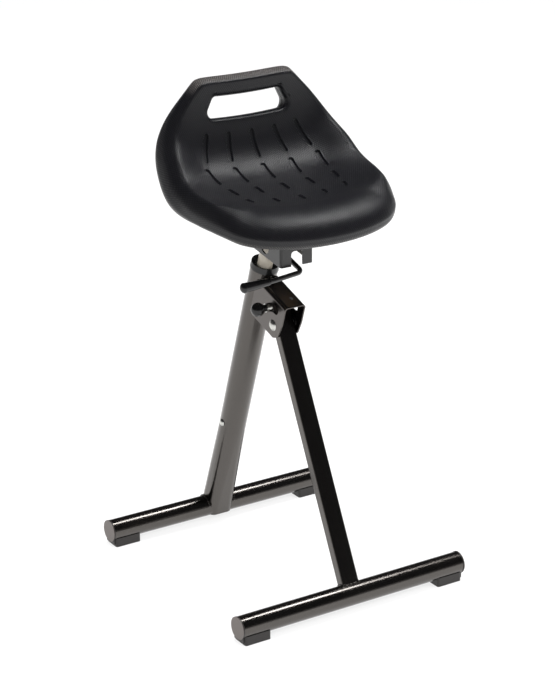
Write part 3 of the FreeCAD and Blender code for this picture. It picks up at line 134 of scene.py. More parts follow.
def through(points: Array, share: Array) -> Array:
    """Catmull-Rom curve through points, open at its ends.

    Each span is a cubic whose end slopes are half the step between its neighbours.

    Args:
        points: Control points, first axis along the curve.
        share: Places along the curve, 0 to 1.

    Returns:
        One point for each share.
    """
    spans = len(points) - 1
    place = np.clip(np.asarray(share, float), 0, 1) * spans
    index = np.minimum(place.astype(int), spans - 1)
    t = (place - index).reshape((-1,) + (1,) * (points.ndim - 1))

    def pick(offset: int) -> Array:
        """Point at an offset from each span's start, held at the ends."""
        return points[np.clip(index + offset, 0, spans)]

    p0, p1, p2, p3 = pick(-1), pick(0), pick(1), pick(2)
    return 0.5 * (2 * p1 + (p2 - p0) * t + (2 * p0 - 5 * p1 + 4 * p2 - p3) * t ** 2
                  + (3 * p1 - p0 - 3 * p2 + p3) * t ** 3)


def even_steps(points: Array, count: int, closed: bool = False) -> Array:
    """Points at even distances along a polyline.

    Args:
        points: Polyline, one point a row.
        count: How many points to return.
        closed: Whether the polyline returns to its start, which is then not repeated.

    Returns:
        The evenly spaced points.
    """
    line = np.vstack([points, points[:1]]) if closed else points
    run = np.concatenate([[0], np.cumsum(np.linalg.norm(np.diff(line, axis=0), axis=1))])
    at = np.linspace(0, run[-1], count, endpoint=not closed)
    return np.stack([np.interp(at, run, line[:, k]) for k in range(line.shape[1])], axis=1)


def grid_mesh(name: str, points: Array, wrap_u: bool, wrap_v: bool) -> bpy.types.Object:
    """Make a mesh object from a grid of points.

    Args:
        name: Name of the object and its mesh.
        points: Array of rows by columns by 3, in millimetres.
        wrap_u: Whether the last row joins the first.
        wrap_v: Whether the last column joins the first.

    Returns:
        The object, smooth shaded, linked to the scene.
    """
    rows, columns = points.shape[:2]
    index = np.arange(rows * columns).reshape(rows, columns)
    nu, nv = rows - (not wrap_u), columns - (not wrap_v)
    a = index[:nu, :nv]
    b = np.roll(index, -1, axis=0)[:nu, :nv]
    c = np.roll(np.roll(index, -1, axis=0), -1, axis=1)[:nu, :nv]
    d = np.roll(index, -1, axis=1)[:nu, :nv]
    quads = np.stack([a, b, c, d], axis=-1).reshape(-1, 4)
    mesh = bpy.data.meshes.new(name)
    mesh.from_pydata((points.reshape(-1, 3) * MM).tolist(), [], quads.tolist())
    mesh.polygons.foreach_set("use_smooth", np.ones(len(quads), bool))
    mesh.update()
    obj = bpy.data.objects.new(name, mesh)
    bpy.context.scene.collection.objects.link(obj)
    return obj


def tube_along(path: Array, radius: Array, sides: int, closed: bool) -> Array:
    """Round tube carried along a path.

    At each point a circle is drawn square to the path, in a frame whose first axis stays as
    close as it can to the one before.

    Args:
        path: Points in millimetres.
        radius: Radius at each point.
        sides: Points round the tube.
        closed: Whether the path is a loop.

    Returns:
        Grid of points, path by sides by 3.
    """
    ahead = np.roll(path, -1, axis=0) if closed else np.vstack([path[1:], 2 * path[-1] - path[-2]])
    behind = np.roll(path, 1, axis=0) if closed else np.vstack([2 * path[0] - path[1], path[:-1]])
    tangent = unit(ahead - behind)
    helper = np.where(np.abs(tangent[:, :1]) < 0.9, np.array([[1.0, 0, 0]]), np.array([[0, 1.0, 0]]))
    first = unit(np.cross(tangent, helper))
    second = np.cross(tangent, first)
    turn = np.linspace(0, 2 * math.pi, sides, endpoint=False)
    ring = (first[:, None] * np.cos(turn)[None, :, None] + second[:, None] * np.sin(turn)[None, :, None])
    return path[:, None] + ring * np.asarray(radius).reshape(-1, 1, 1)


# Finishes


class Slot(enum.Enum):
    """Material slots of the record."""

    FRAME = "frame_paint"
    BRACKET = "bracket_paint"
    BLACK = "black_plastic"
    CAP = "cap_plastic"
    KNOB = "knob_plastic"
    ZINC = "zinc_steel"
    SPRING = "spring_steel"
    CYLINDER = "cylinder_paint"
    CARRIER = "carrier_paint"
    FOAM = "seat_foam"
    PLYWOOD = "plywood"


def new_material(name: str) -> Tuple[bpy.types.Material, bpy.types.NodeTree]:
    """Make an empty node material.

    Args:
        name: The finish's name.

    Returns:
        The material and its node tree.
    """
    material = bpy.data.materials.new(name)
    material.use_nodes = True
    material.node_tree.nodes.clear()
    return material, material.node_tree


def finish_off(tree: bpy.types.NodeTree, settings: Dict[str, Any], links: Dict[str, Any]) -> None:
    """Add the Principled shader and the output.

    Args:
        tree: The material's node tree.
        settings: Values of the shader's sockets.
        links: What feeds its other sockets.
    """
    shader = add_node(tree, "BsdfPrincipled", settings, links)
    add_node(tree, "OutputMaterial", {}, {"Surface": shader.outputs["BSDF"]})


@dataclass(frozen=True)
class PowderCoat:
    """Powder coat on steel, baked: a smooth skin with a faint orange peel and fine metal flake.

    Dark metal flake under a thin clear skin gives the eye a soft mirror with a sharper one above it.
    """

    name: str
    light: str
    dark: str
    roughness: float
    metallic: float
    peel_mm: float = 2.2
    flake_mm: float = 0.5
    cloud_mm: float = 71.4
    peel_height_mm: float = 0.012
    peel_strength: float = 0.35
    flake_range: Tuple[float, float] = (0.3, 0.7)
    smoother: float = 0.04
    rougher: float = 0.05
    skin: float = 0.35
    skin_roughness: float = 0.12

    def build(self) -> bpy.types.Material:
        """Build the material.

        Returns:
            The material.
        """
        material, tree = new_material(self.name)
        place = add_node(tree, "TexCoord").outputs["Object"]
        flake = add_node(tree, "TexNoise", {"Scale": 1 / (self.flake_mm * MM), "Detail": 2.0}, {"Vector": place})
        cloud = add_node(tree, "TexNoise", {"Scale": 1 / (self.cloud_mm * MM), "Detail": 3.0}, {"Vector": place})
        peel = add_node(tree, "TexNoise", {"Scale": 1 / (self.peel_mm * MM), "Detail": 1.0}, {"Vector": place})
        mixed = add_node(tree, "MapRange", {"From Min": self.flake_range[0], "From Max": self.flake_range[1]},
                         {"Value": flake.outputs["Fac"]})
        tone = add_node(tree, "ValToRGB", {"ramp": ((0.0, linear(self.dark)), (1.0, linear(self.light)))},
                        {"Fac": mixed.outputs["Result"]})
        rough = add_node(tree, "MapRange", {"To Min": self.roughness - self.smoother,
                                            "To Max": self.roughness + self.rougher},
                         {"Value": cloud.outputs["Fac"]})
        bump = add_node(tree, "Bump", {"Strength": self.peel_strength, "Distance": self.peel_height_mm * MM},
                        {"Height": peel.outputs["Fac"]})
        finish_off(tree, {"Metallic": self.metallic, "Coat Weight": self.skin, "Coat Roughness": self.skin_roughness},
                   {"Base Color": tone.outputs["Color"], "Roughness": rough.outputs["Result"],
                    "Normal": bump.outputs["Normal"]})
        return material


@dataclass(frozen=True)
class MouldedPlastic:
    """Injection moulded plastic with a spark-eroded grain, a little lighter where it is worn."""

    name: str
    colour: str
    worn: str
    roughness: float
    grain_mm: float = 0.8
    cloud_mm: float = 33.3
    grain_height_mm: float = 0.03
    grain_strength: float = 0.4
    wear_range: Tuple[float, float] = (0.35, 0.75)
    spread: float = 0.05

    def build(self) -> bpy.types.Material:
        """Build the material.

        Returns:
            The material.
        """
        material, tree = new_material(self.name)
        place = add_node(tree, "TexCoord").outputs["Object"]
        grain = add_node(tree, "TexVoronoi", {"Scale": 1 / (self.grain_mm * MM)}, {"Vector": place})
        cloud = add_node(tree, "TexNoise", {"Scale": 1 / (self.cloud_mm * MM), "Detail": 4.0}, {"Vector": place})
        ramp = tuple(zip(self.wear_range, (linear(self.colour), linear(self.worn))))
        tone = add_node(tree, "ValToRGB", {"ramp": ramp}, {"Fac": cloud.outputs["Fac"]})
        bump = add_node(tree, "Bump", {"Strength": self.grain_strength, "Distance": self.grain_height_mm * MM},
                        {"Height": grain.outputs["Distance"]})
        rough = add_node(tree, "MapRange", {"To Min": self.roughness - self.spread,
                                            "To Max": self.roughness + self.spread},
                         {"Value": cloud.outputs["Fac"]})
        finish_off(tree, {"IOR": 1.5}, {"Base Color": tone.outputs["Color"], "Normal": bump.outputs["Normal"],
                                        "Roughness": rough.outputs["Result"]})
        return material


@dataclass(frozen=True)
class FootCapPlastic:
    """Dark moulded foot cap: a grained pad, and a smooth end face painted lighter than the pad as painted reflection.
    """

    name: str = "foot cap polypropylene"
    pad: str = "#242120"
    # Lighter colour of the end face: painted reflection, not the plastic's own colour
    disc_painted_reflection: str = "#6d6561"
    disc_from_mm: float = 233.4
    edge_mm: float = 0.4
    roughness: float = 0.4
    grain_mm: float = 0.8
    cloud_mm: float = 25.0
    grain_height_mm: float = 0.03
    grain_strength: float = 0.4
    spread: float = 0.06

    def build(self) -> bpy.types.Material:
        """Build the material: the end face is what lies farther out than disc_from_mm on either side; its lighter
        colour is painted reflection.

        Returns:
            The material.
        """
        material, tree = new_material(self.name)
        place = add_node(tree, "TexCoord").outputs["Object"]
        across = add_node(tree, "SeparateXYZ", {}, {"Vector": place}).outputs["X"]
        out = add_node(tree, "Math", {"operation": "ABSOLUTE"}, {"0": across})
        reflection_mask = add_node(tree, "MapRange", {"From Min": self.disc_from_mm * MM,
                                           "From Max": (self.disc_from_mm + self.edge_mm) * MM},
                        {"Value": out.outputs["Value"]})
        grain = add_node(tree, "TexVoronoi", {"Scale": 1 / (self.grain_mm * MM)}, {"Vector": place})
        cloud = add_node(tree, "TexNoise", {"Scale": 1 / (self.cloud_mm * MM), "Detail": 4.0}, {"Vector": place})
        # End face painted lighter than the pad: painted reflection
        tone = add_node(tree, "ValToRGB", {"ramp": ((0.0, linear(self.pad)), (1.0, linear(self.disc_painted_reflection)))},
                        {"Fac": reflection_mask.outputs["Result"]})
        rough = add_node(tree, "MapRange", {"To Min": self.roughness - self.spread,
                                            "To Max": self.roughness + self.spread},
                         {"Value": cloud.outputs["Fac"]})
        bump = add_node(tree, "Bump", {"Strength": self.grain_strength, "Distance": self.grain_height_mm * MM},
                        {"Height": grain.outputs["Distance"]})
        finish_off(tree, {"IOR": 1.5}, {"Base Color": tone.outputs["Color"], "Normal": bump.outputs["Normal"],
                                        "Roughness": rough.outputs["Result"]})
        return material


@dataclass(frozen=True)
class PlatedSteel:
    """Zinc plated or ground steel: bright, with turning or grinding marks and slight clouding."""

    name: str
    colour: str
    clouded: str
    roughness: float
    spread: float = 0.12
    mark_mm: float = 0.6872
    cloud_mm: float = 16.7
    mark_height_mm: float = 0.01
    mark_strength: float = 0.1

    def build(self) -> bpy.types.Material:
        """Build the material.

        Returns:
            The material.
        """
        material, tree = new_material(self.name)
        place = add_node(tree, "TexCoord").outputs["Object"]
        cloud = add_node(tree, "TexNoise", {"Scale": 1 / (self.cloud_mm * MM), "Detail": 4.0}, {"Vector": place})
        marks = add_node(tree, "TexWave", {"Scale": WAVE_REPEAT / (self.mark_mm * MM), "Distortion": 3.0,
                                           "Detail": 2.0, "bands_direction": "DIAGONAL"}, {"Vector": place})
        tone = add_node(tree, "ValToRGB", {"ramp": ((0.0, linear(self.clouded)), (1.0, linear(self.colour)))},
                        {"Fac": cloud.outputs["Fac"]})
        rough = add_node(tree, "MapRange", {"To Min": self.roughness, "To Max": self.roughness + self.spread},
                         {"Value": cloud.outputs["Fac"]})
        bump = add_node(tree, "Bump", {"Strength": self.mark_strength, "Distance": self.mark_height_mm * MM},
                        {"Height": marks.outputs["Fac"]})
        finish_off(tree, {"Metallic": 1.0}, {"Base Color": tone.outputs["Color"],
                                             "Roughness": rough.outputs["Result"],
                                             "Normal": bump.outputs["Normal"]})
        return material


@dataclass(frozen=True)
class BirchPlywood:
    """Rotary cut birch plywood, sanded: long soft grain lines."""

    name: str = "birch plywood"
    light: str = "#c9a676"
    dark: str = "#a8845a"
    grain_mm: float = 4.0
    grain_height_mm: float = 0.05
    grain_strength: float = 0.2
    stretch: float = 0.08
    roughness: float = 0.6

    def build(self) -> bpy.types.Material:
        """Build the material.

        Returns:
            The material.
        """
        material, tree = new_material(self.name)
        place = add_node(tree, "TexCoord").outputs["Object"]
        long_grain = add_node(tree, "Mapping", {"Scale": (1.0, self.stretch, 1.0)}, {"Vector": place})
        grain = add_node(tree, "TexNoise", {"Scale": 1 / (self.grain_mm * MM), "Detail": 6.0},
                         {"Vector": long_grain.outputs["Vector"]})
        tone = add_node(tree, "ValToRGB", {"ramp": ((0.0, linear(self.dark)), (1.0, linear(self.light)))},
                        {"Fac": grain.outputs["Fac"]})
        bump = add_node(tree, "Bump", {"Strength": self.grain_strength, "Distance": self.grain_height_mm * MM},
                        {"Height": grain.outputs["Fac"]})
        finish_off(tree, {"Roughness": self.roughness},
                   {"Base Color": tone.outputs["Color"], "Normal": bump.outputs["Normal"]})
        return material


@dataclass(frozen=True)
class IntegralFoam:
    """Integral skin polyurethane foam: a dense satin skin with a fine diamond knurl from the mould, its low spots
    painted darker as painted shade.

    The knurl of the real skin is about 1.5 mm. It is drawn at 3.4 mm, so that it shows in the render.
    """

    name: str = "integral skin foam"
    colour: str = "#131317"
    # Darker colour of the knurl's low spots: painted shade
    pit_shade: str = "#060608"
    # Lighter warm grey of the lower edge and the handle's top face: painted reflection, not a second foam colour
    reflection_band: str = "#6b6663"
    roughness: float = 0.36
    knurl_mm: float = 3.4
    knurl_turn: float = 35.0
    knurl_height_mm: float = 0.32
    cloud_mm: float = 45.5
    refraction: float = 1.46
    pit_shade_reach: float = 0.35
    smoother: float = 0.05
    rougher: float = 0.06

    def build(self) -> bpy.types.Material:
        """Build the material: two crossed waves on the surface map make the knurl.

        Returns:
            The material.
        """
        material, tree = new_material(self.name)
        surface = add_node(tree, "UVMap", {"uv_map": "surface"}).outputs["UV"]
        waves = []
        for angle in (self.knurl_turn, -self.knurl_turn):
            turned = add_node(tree, "Mapping", {"Rotation": (0, 0, math.radians(angle))}, {"Vector": surface})
            wave = add_node(tree, "TexWave", {"Scale": WAVE_REPEAT / (self.knurl_mm * MM)},
                            {"Vector": turned.outputs["Vector"]})
            waves.append(wave.outputs["Fac"])
        knurl = add_node(tree, "Math", {"operation": "MULTIPLY"}, {"0": waves[0], "1": waves[1]})
        # Knurl low spots painted darker: painted shade
        pit_shading = add_node(tree, "MapRange", {"From Max": self.pit_shade_reach}, {"Value": knurl.outputs["Value"]})
        place = add_node(tree, "TexCoord").outputs["Object"]
        cloud = add_node(tree, "TexNoise", {"Scale": 1 / (self.cloud_mm * MM), "Detail": 4.0}, {"Vector": place})
        bump = add_node(tree, "Bump", {"Strength": 1.0, "Distance": self.knurl_height_mm * MM},
                        {"Height": knurl.outputs["Value"]})
        # Per point share of the lighter colour, a painted reflection
        reflection_mask = add_node(tree, "Attribute", {"attribute_name": "reflection_band"}).outputs["Fac"]
        tone = add_node(tree, "ValToRGB", {"ramp": ((0.0, linear(self.colour)), (1.0, linear(self.reflection_band)))},
                        {"Fac": reflection_mask})
        # Sockets 6 and 7 of a Mix node are its two colours, and output 2 is the mixed colour
        shaded = add_node(tree, "Mix", {"data_type": "RGBA"}, {"0": pit_shading.outputs["Result"], "7": tone.outputs["Color"]})
        shaded.inputs[6].default_value = linear(self.pit_shade)
        rough = add_node(tree, "MapRange", {"To Min": self.roughness - self.smoother,
                                            "To Max": self.roughness + self.rougher},
                         {"Value": cloud.outputs["Fac"]})
        finish_off(tree, {"IOR": self.refraction}, {"Base Color": shaded.outputs[2],
                                                    "Roughness": rough.outputs["Result"],
                                                    "Normal": bump.outputs["Normal"]})
        return material


# The seat


@dataclass
class TopLine:
    """The seat's upper line on the middle plane: a straight start and three tangent arcs.

    The heading grows evenly with distance along each arc.
    """

    start_y: float = -104.0
    start_z: float = 710.7
    headings: Tuple[float, ...] = (1.2, 11.4, 71.9, 93.0)
    runs: Tuple[float, ...] = (128.0, 101.0, 94.0)

    def at(self, distance: Array) -> Tuple[Array, Array, Array]:
        """Give the line's y, z and heading.

        Args:
            distance: Distance along the line from its start, negative in front of it.

        Returns:
            y and z in millimetres and the heading in radians.
        """
        distance = np.asarray(distance, float)
        heading = np.full(distance.shape, math.radians(self.headings[0]))
        before = np.minimum(distance, 0)
        y = self.start_y + before * np.cos(heading)
        z = self.start_z + before * np.sin(heading)
        begin = 0.0
        for i, run in enumerate(self.runs):
            low, high = math.radians(self.headings[i]), math.radians(self.headings[i + 1])
            radius = run / (high - low)
            end = run if i < len(self.runs) - 1 else 10 * run
            turn = np.clip(distance - begin, 0, end) / radius
            y = y + radius * (np.sin(low + turn) - math.sin(low))
            z = z + radius * (math.cos(low) - np.cos(low + turn))
            heading = np.where(distance > begin, low + turn, heading)
            begin += run
        return y, z, heading

    def distance_at(self, y: float) -> float:
        """Distance along the line at which it reaches y, read off a fine table up to a little past the bend.

        Args:
            y: Where to look, in millimetres.

        Returns:
            Distance from the line's start.
        """
        along = np.linspace(-80, self.runs[0] + self.runs[1] + 30, 600)
        return float(np.interp(y, self.at(along)[0], along))


class GrooveRow(NamedTuple):
    """One row of five grooves, each given by x and y at its rear and at its front end.

    The outer and inner grooves come in mirrored pairs as (rear x, front x, rear y, front y). The
    middle groove lies on x = 0, so it needs only its two y.
    """

    outer: Tuple[float, float, float, float]
    inner: Tuple[float, float, float, float]
    middle: Tuple[float, float]
    width_share: float


@dataclass
class Rays:
    """Partner points of the slot and the rim, one pair for each ray of the seat's grid.

    All are (x, s) pairs, apart from the wall. The directions are square to their line and point
    away from the hole and off the seat.
    """

    slot: Array
    rim: Array
    from_slot: Array
    off_rim: Array
    wall: Array


@dataclass
class Loops:
    """The closed loops of the seat's grid in order, each with its place, map and share of painted reflection."""

    domains: List[Array] = field(default_factory=list)
    depths: List[Array] = field(default_factory=list)
    maps: List[Array] = field(default_factory=list)
    reflection_bands: List[Array] = field(default_factory=list)

    def add(self, domain: Array, depth: Array, chart: Array, reflection_band: Optional[Array] = None) -> None:
        """Add one loop.

        Args:
            domain: x and s of its points.
            depth: Depth of its points below the upper surface.
            chart: Map coordinates for the knurl.
            reflection_band: How far each point has the lighter colour of painted reflection along the lower edge, none
                if left out.
        """
        self.domains.append(domain)
        self.depths.append(depth + np.zeros(len(domain)))
        self.maps.append(chart)
        self.reflection_bands.append(np.zeros(len(domain)) if reflection_band is None else reflection_band)


@dataclass
class Seat:
    """Moulded saddle seat with its carrying handle.

    Every point is placed by three numbers: x across, s along the top line, and a depth below the
    upper surface. One grid runs round the handle slot and over the whole skin, so it closes on itself.
    Lengths are in millimetres. A pair called zone is the stretch over which something sets in.
    """

    line: TopLine = field(default_factory=TopLine)
    half_width: float = 170.0
    dish: float = 5.0
    dish_reach: float = 105.0
    wing_fill: float = 16.0
    wing_fill_zone: Tuple[float, float] = (105.0, 172.0)
    wing_fill_at: float = 182.0
    wing_fill_reach: float = 52.0

    # Underside
    low_front: float = 657.0
    low_slope: float = 0.05
    front: float = -172.0
    shoulder: float = 38.0
    back: float = 31.0
    wing_extra: float = 14.0
    belly: float = 24.0
    belly_skew: float = 0.8

    # Grooves
    groove_width: float = 9.0
    groove_depth: float = 3.3
    groove_least: float = 0.2
    groove_wall_zone: Tuple[float, float] = (-1.3, 0.4)
    groove_rise: float = 0.25
    groove_rise_at: float = 0.9
    groove_rise_reach: float = 0.7
    refine_reach: float = 3.2
    refine_cuts: int = 2

    # Handle slot: its height is along s, its corners are cut round its trapezium
    slot_low: float = 260.0
    slot_high: float = 296.6
    slot_low_half: float = 86.0
    slot_high_half: float = 67.0
    slot_corner: float = 10.0
    slot_corner_points: int = 12
    lip: float = 9.0
    rear_lip: float = 21.0
    rear_flare: float = 11.0

    # Edge kinds along s: the front counts forwards
    handle_zone: Tuple[float, float] = (190.0, 315.0)
    wing_zone: Tuple[float, float] = (60.0, 150.0)
    front_zone: Tuple[float, float] = (-48.0, 34.0)

    # Lighter strip of painted reflection: places are counted in profile points, strengths are shares of the full colour
    reflection_band_front_zone: Tuple[float, float] = (-40.0, 40.0)
    reflection_band_rear_zone: Tuple[float, float] = (150.0, 200.0)
    reflection_band_place: Tuple[float, float] = (6.9, 7.3)
    reflection_band_front_share: float = 0.35
    reflection_band_under_share: float = 0.4
    crown_reflection_zone: Tuple[float, float] = (300.0, 322.0)
    crown_reflection_place: Tuple[float, float] = (3.2, 4.2)
    crown_reflection_share: float = 0.6

    # Grid: points of a half outline along its top, side and bottom, then loops of each stretch
    half_counts: Tuple[int, int, int] = (30, 140, 42)
    wall_loops: int = 4
    lip_loops: int = 6
    top_loops: int = 97
    loops_per_span: int = 4
    under_loops: int = 14
    under_ease: float = 0.25
    rear_lip_loops: int = 5
    rear_wall_loops: int = 3

    # Outermost line of the right half in (x, s), from the middle of the handle to the middle of the front
    rim: Tuple[Tuple[float, float], ...] = (
        (0, 328.5), (45, 328.2), (76, 327.2), (91, 324.5), (100, 318.5), (117.5, 300), (137.5, 277), (154.5, 253),
        (170, 224), (180, 197), (186.5, 170), (190, 141), (191, 108), (189, 78), (181.5, 44), (169, 14),
        (152, -16), (122, -43), (82, -59), (40, -66.5), (0, -68.5))
    rim_handle_corner: Tuple[float, float] = (97.0, 324.0)
    rim_front_corner: Tuple[float, float] = (112.0, -46.0)

    # Skin profile as (outward, depth) points: crease, side and underside, for each kind of edge
    side_profile: Tuple[Tuple[float, float], ...] = (
        (-30, 0), (-18, 0), (-12.5, 0.8), (-8.5, 4), (-4.5, 11), (0, 25), (-1, 36), (-4, 44), (-14, 49),
        (-40, 56), (-66, 60))
    front_profile: Tuple[Tuple[float, float], ...] = (
        (-75, 0), (-52, 1.6), (-34, 6.0), (-18, 14), (-6.5, 25), (0, 37), (-0.5, 43), (-1.5, 48), (-4, 52.5),
        (-9, 55), (-30, 55.5))
    wing_profile: Tuple[Tuple[float, float], ...] = (
        (-32, 0), (-20, 0), (-16, 0.8), (-11, 3.5), (-6, 9), (-1, 18), (2, 30), (3, 44), (-3, 54),
        (-16, 60), (-36, 62))
    top_profile: Tuple[Tuple[float, float], ...] = (
        (-20, 0), (-13, 0), (-9, 0.1), (-6, 1.3), (-3.5, 5), (0, 17), (-0.8, 23), (-2.5, 27), (-6, 30),
        (-11, 31), (-16, 31))

    rows: Tuple[GrooveRow, ...] = (
        GrooveRow((91.8, 106.7, 97, 70), (46.9, 55.9, 97, 70), (97, 70), 1.0),
        GrooveRow((112.9, 109.6, 60.5, 20), (57.1, 54.0, 60.5, 20), (60.5, 20), 1.0),
        GrooveRow((105, 102, 2, -26), (52, 52, 2, -26), (2, -26), 0.9),
        GrooveRow((98, 94.4, -42, -62.5), (49.4, 48, -51, -71), (-52, -77), 0.8),
        GrooveRow((90.7, 90.5, -91, -95), (46.6, 46.5, -101, -105), (-101.5, -105.5), 0.85))

    def surface(self, x: Array, s: Array) -> Tuple[Array, Array]:
        """Upper surface and its outward normal.

        The dish lifts the surface by the square of x. In the bend the wings are filled up further,
        by a bell curve along s.

        Args:
            x: Across, in millimetres.
            s: Along the top line.

        Returns:
            Points and unit normals.
        """
        y, z, heading = self.line.at(s)
        bell = np.exp(-((s - self.wing_fill_at) / self.wing_fill_reach) ** 2)
        fill = self.wing_fill * smooth_step(np.abs(x), *self.wing_fill_zone) * bell
        point = np.stack([x, y - fill * np.sin(heading),
                          z + self.dish * (x / self.dish_reach) ** 2 + fill * np.cos(heading)], axis=-1)
        slope = 2 * self.dish * x / self.dish_reach ** 2
        normal = np.stack([-slope * np.cos(heading), -np.sin(heading), np.cos(heading)], axis=-1)
        return point, unit(normal)

    def thickness(self, x: Array, s: Array) -> Array:
        """Depth of the underside: level under the pan, then a shell that thins towards the handle.

        Between them a belly bulges out behind the bend, as a squared sine along s and a parabola across.

        Args:
            x: Across, in millimetres.
            s: Along the top line.

        Returns:
            Depth below the upper surface.
        """
        pan_run, bend_run, back_run = self.line.runs
        y, z, heading = self.line.at(np.minimum(s, pan_run))
        under = self.low_front + self.low_slope * (y - self.front)
        pan = (z + self.dish * (x / self.dish_reach) ** 2 - under) / np.cos(heading)
        bend_end = pan_run + bend_run
        share = (s - pan_run) / bend_run
        upper = self.shoulder + (self.back - self.shoulder) * np.clip((s - bend_end) / back_run, 0, 1)
        upper = upper + self.wing_extra * (x / self.half_width) ** 2
        bulge = self.belly * np.clip(1 - (x / self.half_width) ** 2, 0, 1)
        bulge = bulge * np.sin(math.pi * np.clip(share, 0, 1) ** self.belly_skew) ** 2
        return pan + (upper - pan) * smooth_step(share, 0, 1) + bulge

    def groove_gap(self, x: Array, s: Array) -> Array:
        """Distance outside the nearest groove's edge, each groove being a line with round ends.

        It is the distance to the groove's middle line, less half its width.

        Args:
            x: Across, in millimetres.
            s: Along the top line.

        Returns:
            The distance, negative inside a groove.
        """
        nearest = np.full(x.shape, np.inf)
        for row in self.rows:
            for x0, x1, y0, y1 in (row.outer, row.inner, (0, 0) + row.middle):
                s0, s1 = self.line.distance_at(y0), self.line.distance_at(y1)
                inset = min(self.groove_width / 2, (s0 - s1) / 2 - self.groove_least)
                s0, s1 = s0 - inset, s1 + inset
                along = np.array([x1 - x0, s1 - s0])
                across = np.abs(x) if x0 else x
                t = np.clip(((across - x0) * along[0] + (s - s0) * along[1]) / (along @ along), 0, 1)
                away = np.hypot(across - x0 - t * along[0], s - s0 - t * along[1])
                nearest = np.minimum(nearest, away - self.groove_width * row.width_share / 2)
        return nearest

    def rounded_corner(self, at: Array, before: Array, after: Array) -> Array:
        """Arc that rounds one corner of the slot.

        Its centre lies on the corner's bisector, where the circle touches both sides.

        Args:
            at: The corner.
            before: A point on the side that leads to it.
            after: A point on the side that leaves it.

        Returns:
            Points of the arc, ends included.
        """
        u, w = unit(before - at), unit(after - at)
        half = math.acos(float(np.clip(u @ w, -1, 1))) / 2
        centre = at + unit(u + w) * self.slot_corner / math.sin(half)
        start = at + u * self.slot_corner / math.tan(half) - centre
        end = at + w * self.slot_corner / math.tan(half) - centre
        t = np.linspace(0, 1, self.slot_corner_points)[:, None]
        return centre + unit(start * (1 - t) + end * t) * self.slot_corner

    def slot_outline(self) -> Array:
        """Right half of the slot's outline in (x, s), from the middle of its top to that of its bottom.

        Returns:
            The points, ends included.
        """
        high, low = np.array([self.slot_high_half, self.slot_high]), np.array([self.slot_low_half, self.slot_low])
        upper = self.rounded_corner(high, np.array([0, self.slot_high]), low)
        lower = self.rounded_corner(low, high, np.array([0, self.slot_low]))
        top = even_steps(np.vstack([[0, self.slot_high], upper[0]]), self.half_counts[0])
        side = even_steps(np.vstack([upper, lower]), self.half_counts[1])
        bottom = even_steps(np.vstack([lower[-1], [0, self.slot_low]]), self.half_counts[2])
        return np.vstack([top[:-1], side[:-1], bottom])

    def rim_outline(self) -> Array:
        """Right half of the outermost line in (x, s), matched to the slot's outline point by point.

        Returns:
            The points, ends included.
        """
        dense = through(np.array(self.rim, float), np.linspace(0, 1, 800))
        top_end, front_start = (int(np.argmin(np.hypot(*(dense - corner).T)))
                                for corner in (self.rim_handle_corner, self.rim_front_corner))
        top = even_steps(dense[:top_end + 1], self.half_counts[0])
        side = even_steps(dense[top_end:front_start + 1], self.half_counts[1])
        front = even_steps(dense[front_start:], self.half_counts[2])
        return np.vstack([top[:-1], side[:-1], front])

    def both_halves(self, half: Array) -> Array:
        """Close a right half with its mirror image, without repeating its ends."""
        return np.vstack([half, half[-2:0:-1] * np.array([-1, 1])])

    def rays(self) -> Rays:
        """Pair the slot's points with the rim's and find the directions square to both lines.

        Returns:
            The rays, all the way round.
        """
        slot, rim = self.both_halves(self.slot_outline()), self.both_halves(self.rim_outline())

        def square_to(loop: Array) -> Array:
            """Unit directions square to a closed loop, on the side that leads from slot to rim.

            Args:
                loop: The slot's points or the rim's.

            Returns:
                One direction for each point.
            """
            step = np.roll(loop, -1, axis=0) - np.roll(loop, 1, axis=0)
            side = unit(np.stack([-step[:, 1], step[:, 0]], axis=1))
            return side * np.sign(np.sum(side * (rim - slot), axis=1))[:, None]

        return Rays(slot, rim, square_to(slot), square_to(rim), self.thickness(slot[:, 0], slot[:, 1]))

    def profile(self, rim: Array) -> Array:
        """Skin profile at each rim point, blended between the four kinds of edge by place.

        Args:
            rim: Rim points in (x, s).

        Returns:
            Rim points by profile points by (outward, depth).
        """
        s = rim[:, 1]
        top = smooth_step(s, *self.handle_zone)
        front = smooth_step(-s, *self.front_zone)
        wing = smooth_step(s, *self.wing_zone) * (1 - top)
        side = 1 - top - front - wing
        kinds = [np.array(p, float) for p in (self.side_profile, self.front_profile, self.wing_profile,
                                              self.top_profile)]
        weights = (side, front, wing, top)
        return sum(w[:, None, None] * kind[None] for w, kind in zip(weights, kinds))

    def add_front_lip(self, loops: Loops, rays: Rays) -> None:
        """Run from the middle of the slot's wall up to its front lip, and round it as a quarter circle.

        Args:
            loops: The loops so far.
            rays: The seat's rays.
        """
        for t in np.linspace(0, 1, self.wall_loops + 1)[:-1]:
            depth = rays.wall / 2 + (self.lip - rays.wall / 2) * t
            loops.add(rays.slot, depth, rays.slot - rays.from_slot * depth[:, None])
        for t in np.linspace(0, math.pi / 2, self.lip_loops + 1)[:-1]:
            domain = rays.slot + rays.from_slot * (self.lip * (1 - math.cos(t)))
            loops.add(domain, self.lip * (1 - math.sin(t)), domain)

    def add_top(self, loops: Loops, first: Array, last: Array) -> None:
        """Cross the upper surface in even steps.

        Args:
            loops: The loops so far.
            first: x and s where the lip ends.
            last: x and s where the skin's profile starts.
        """
        for t in np.linspace(0, 1, self.top_loops + 1)[:-1]:
            domain = first * (1 - t) + last * t
            loops.add(domain, 0.0, domain)

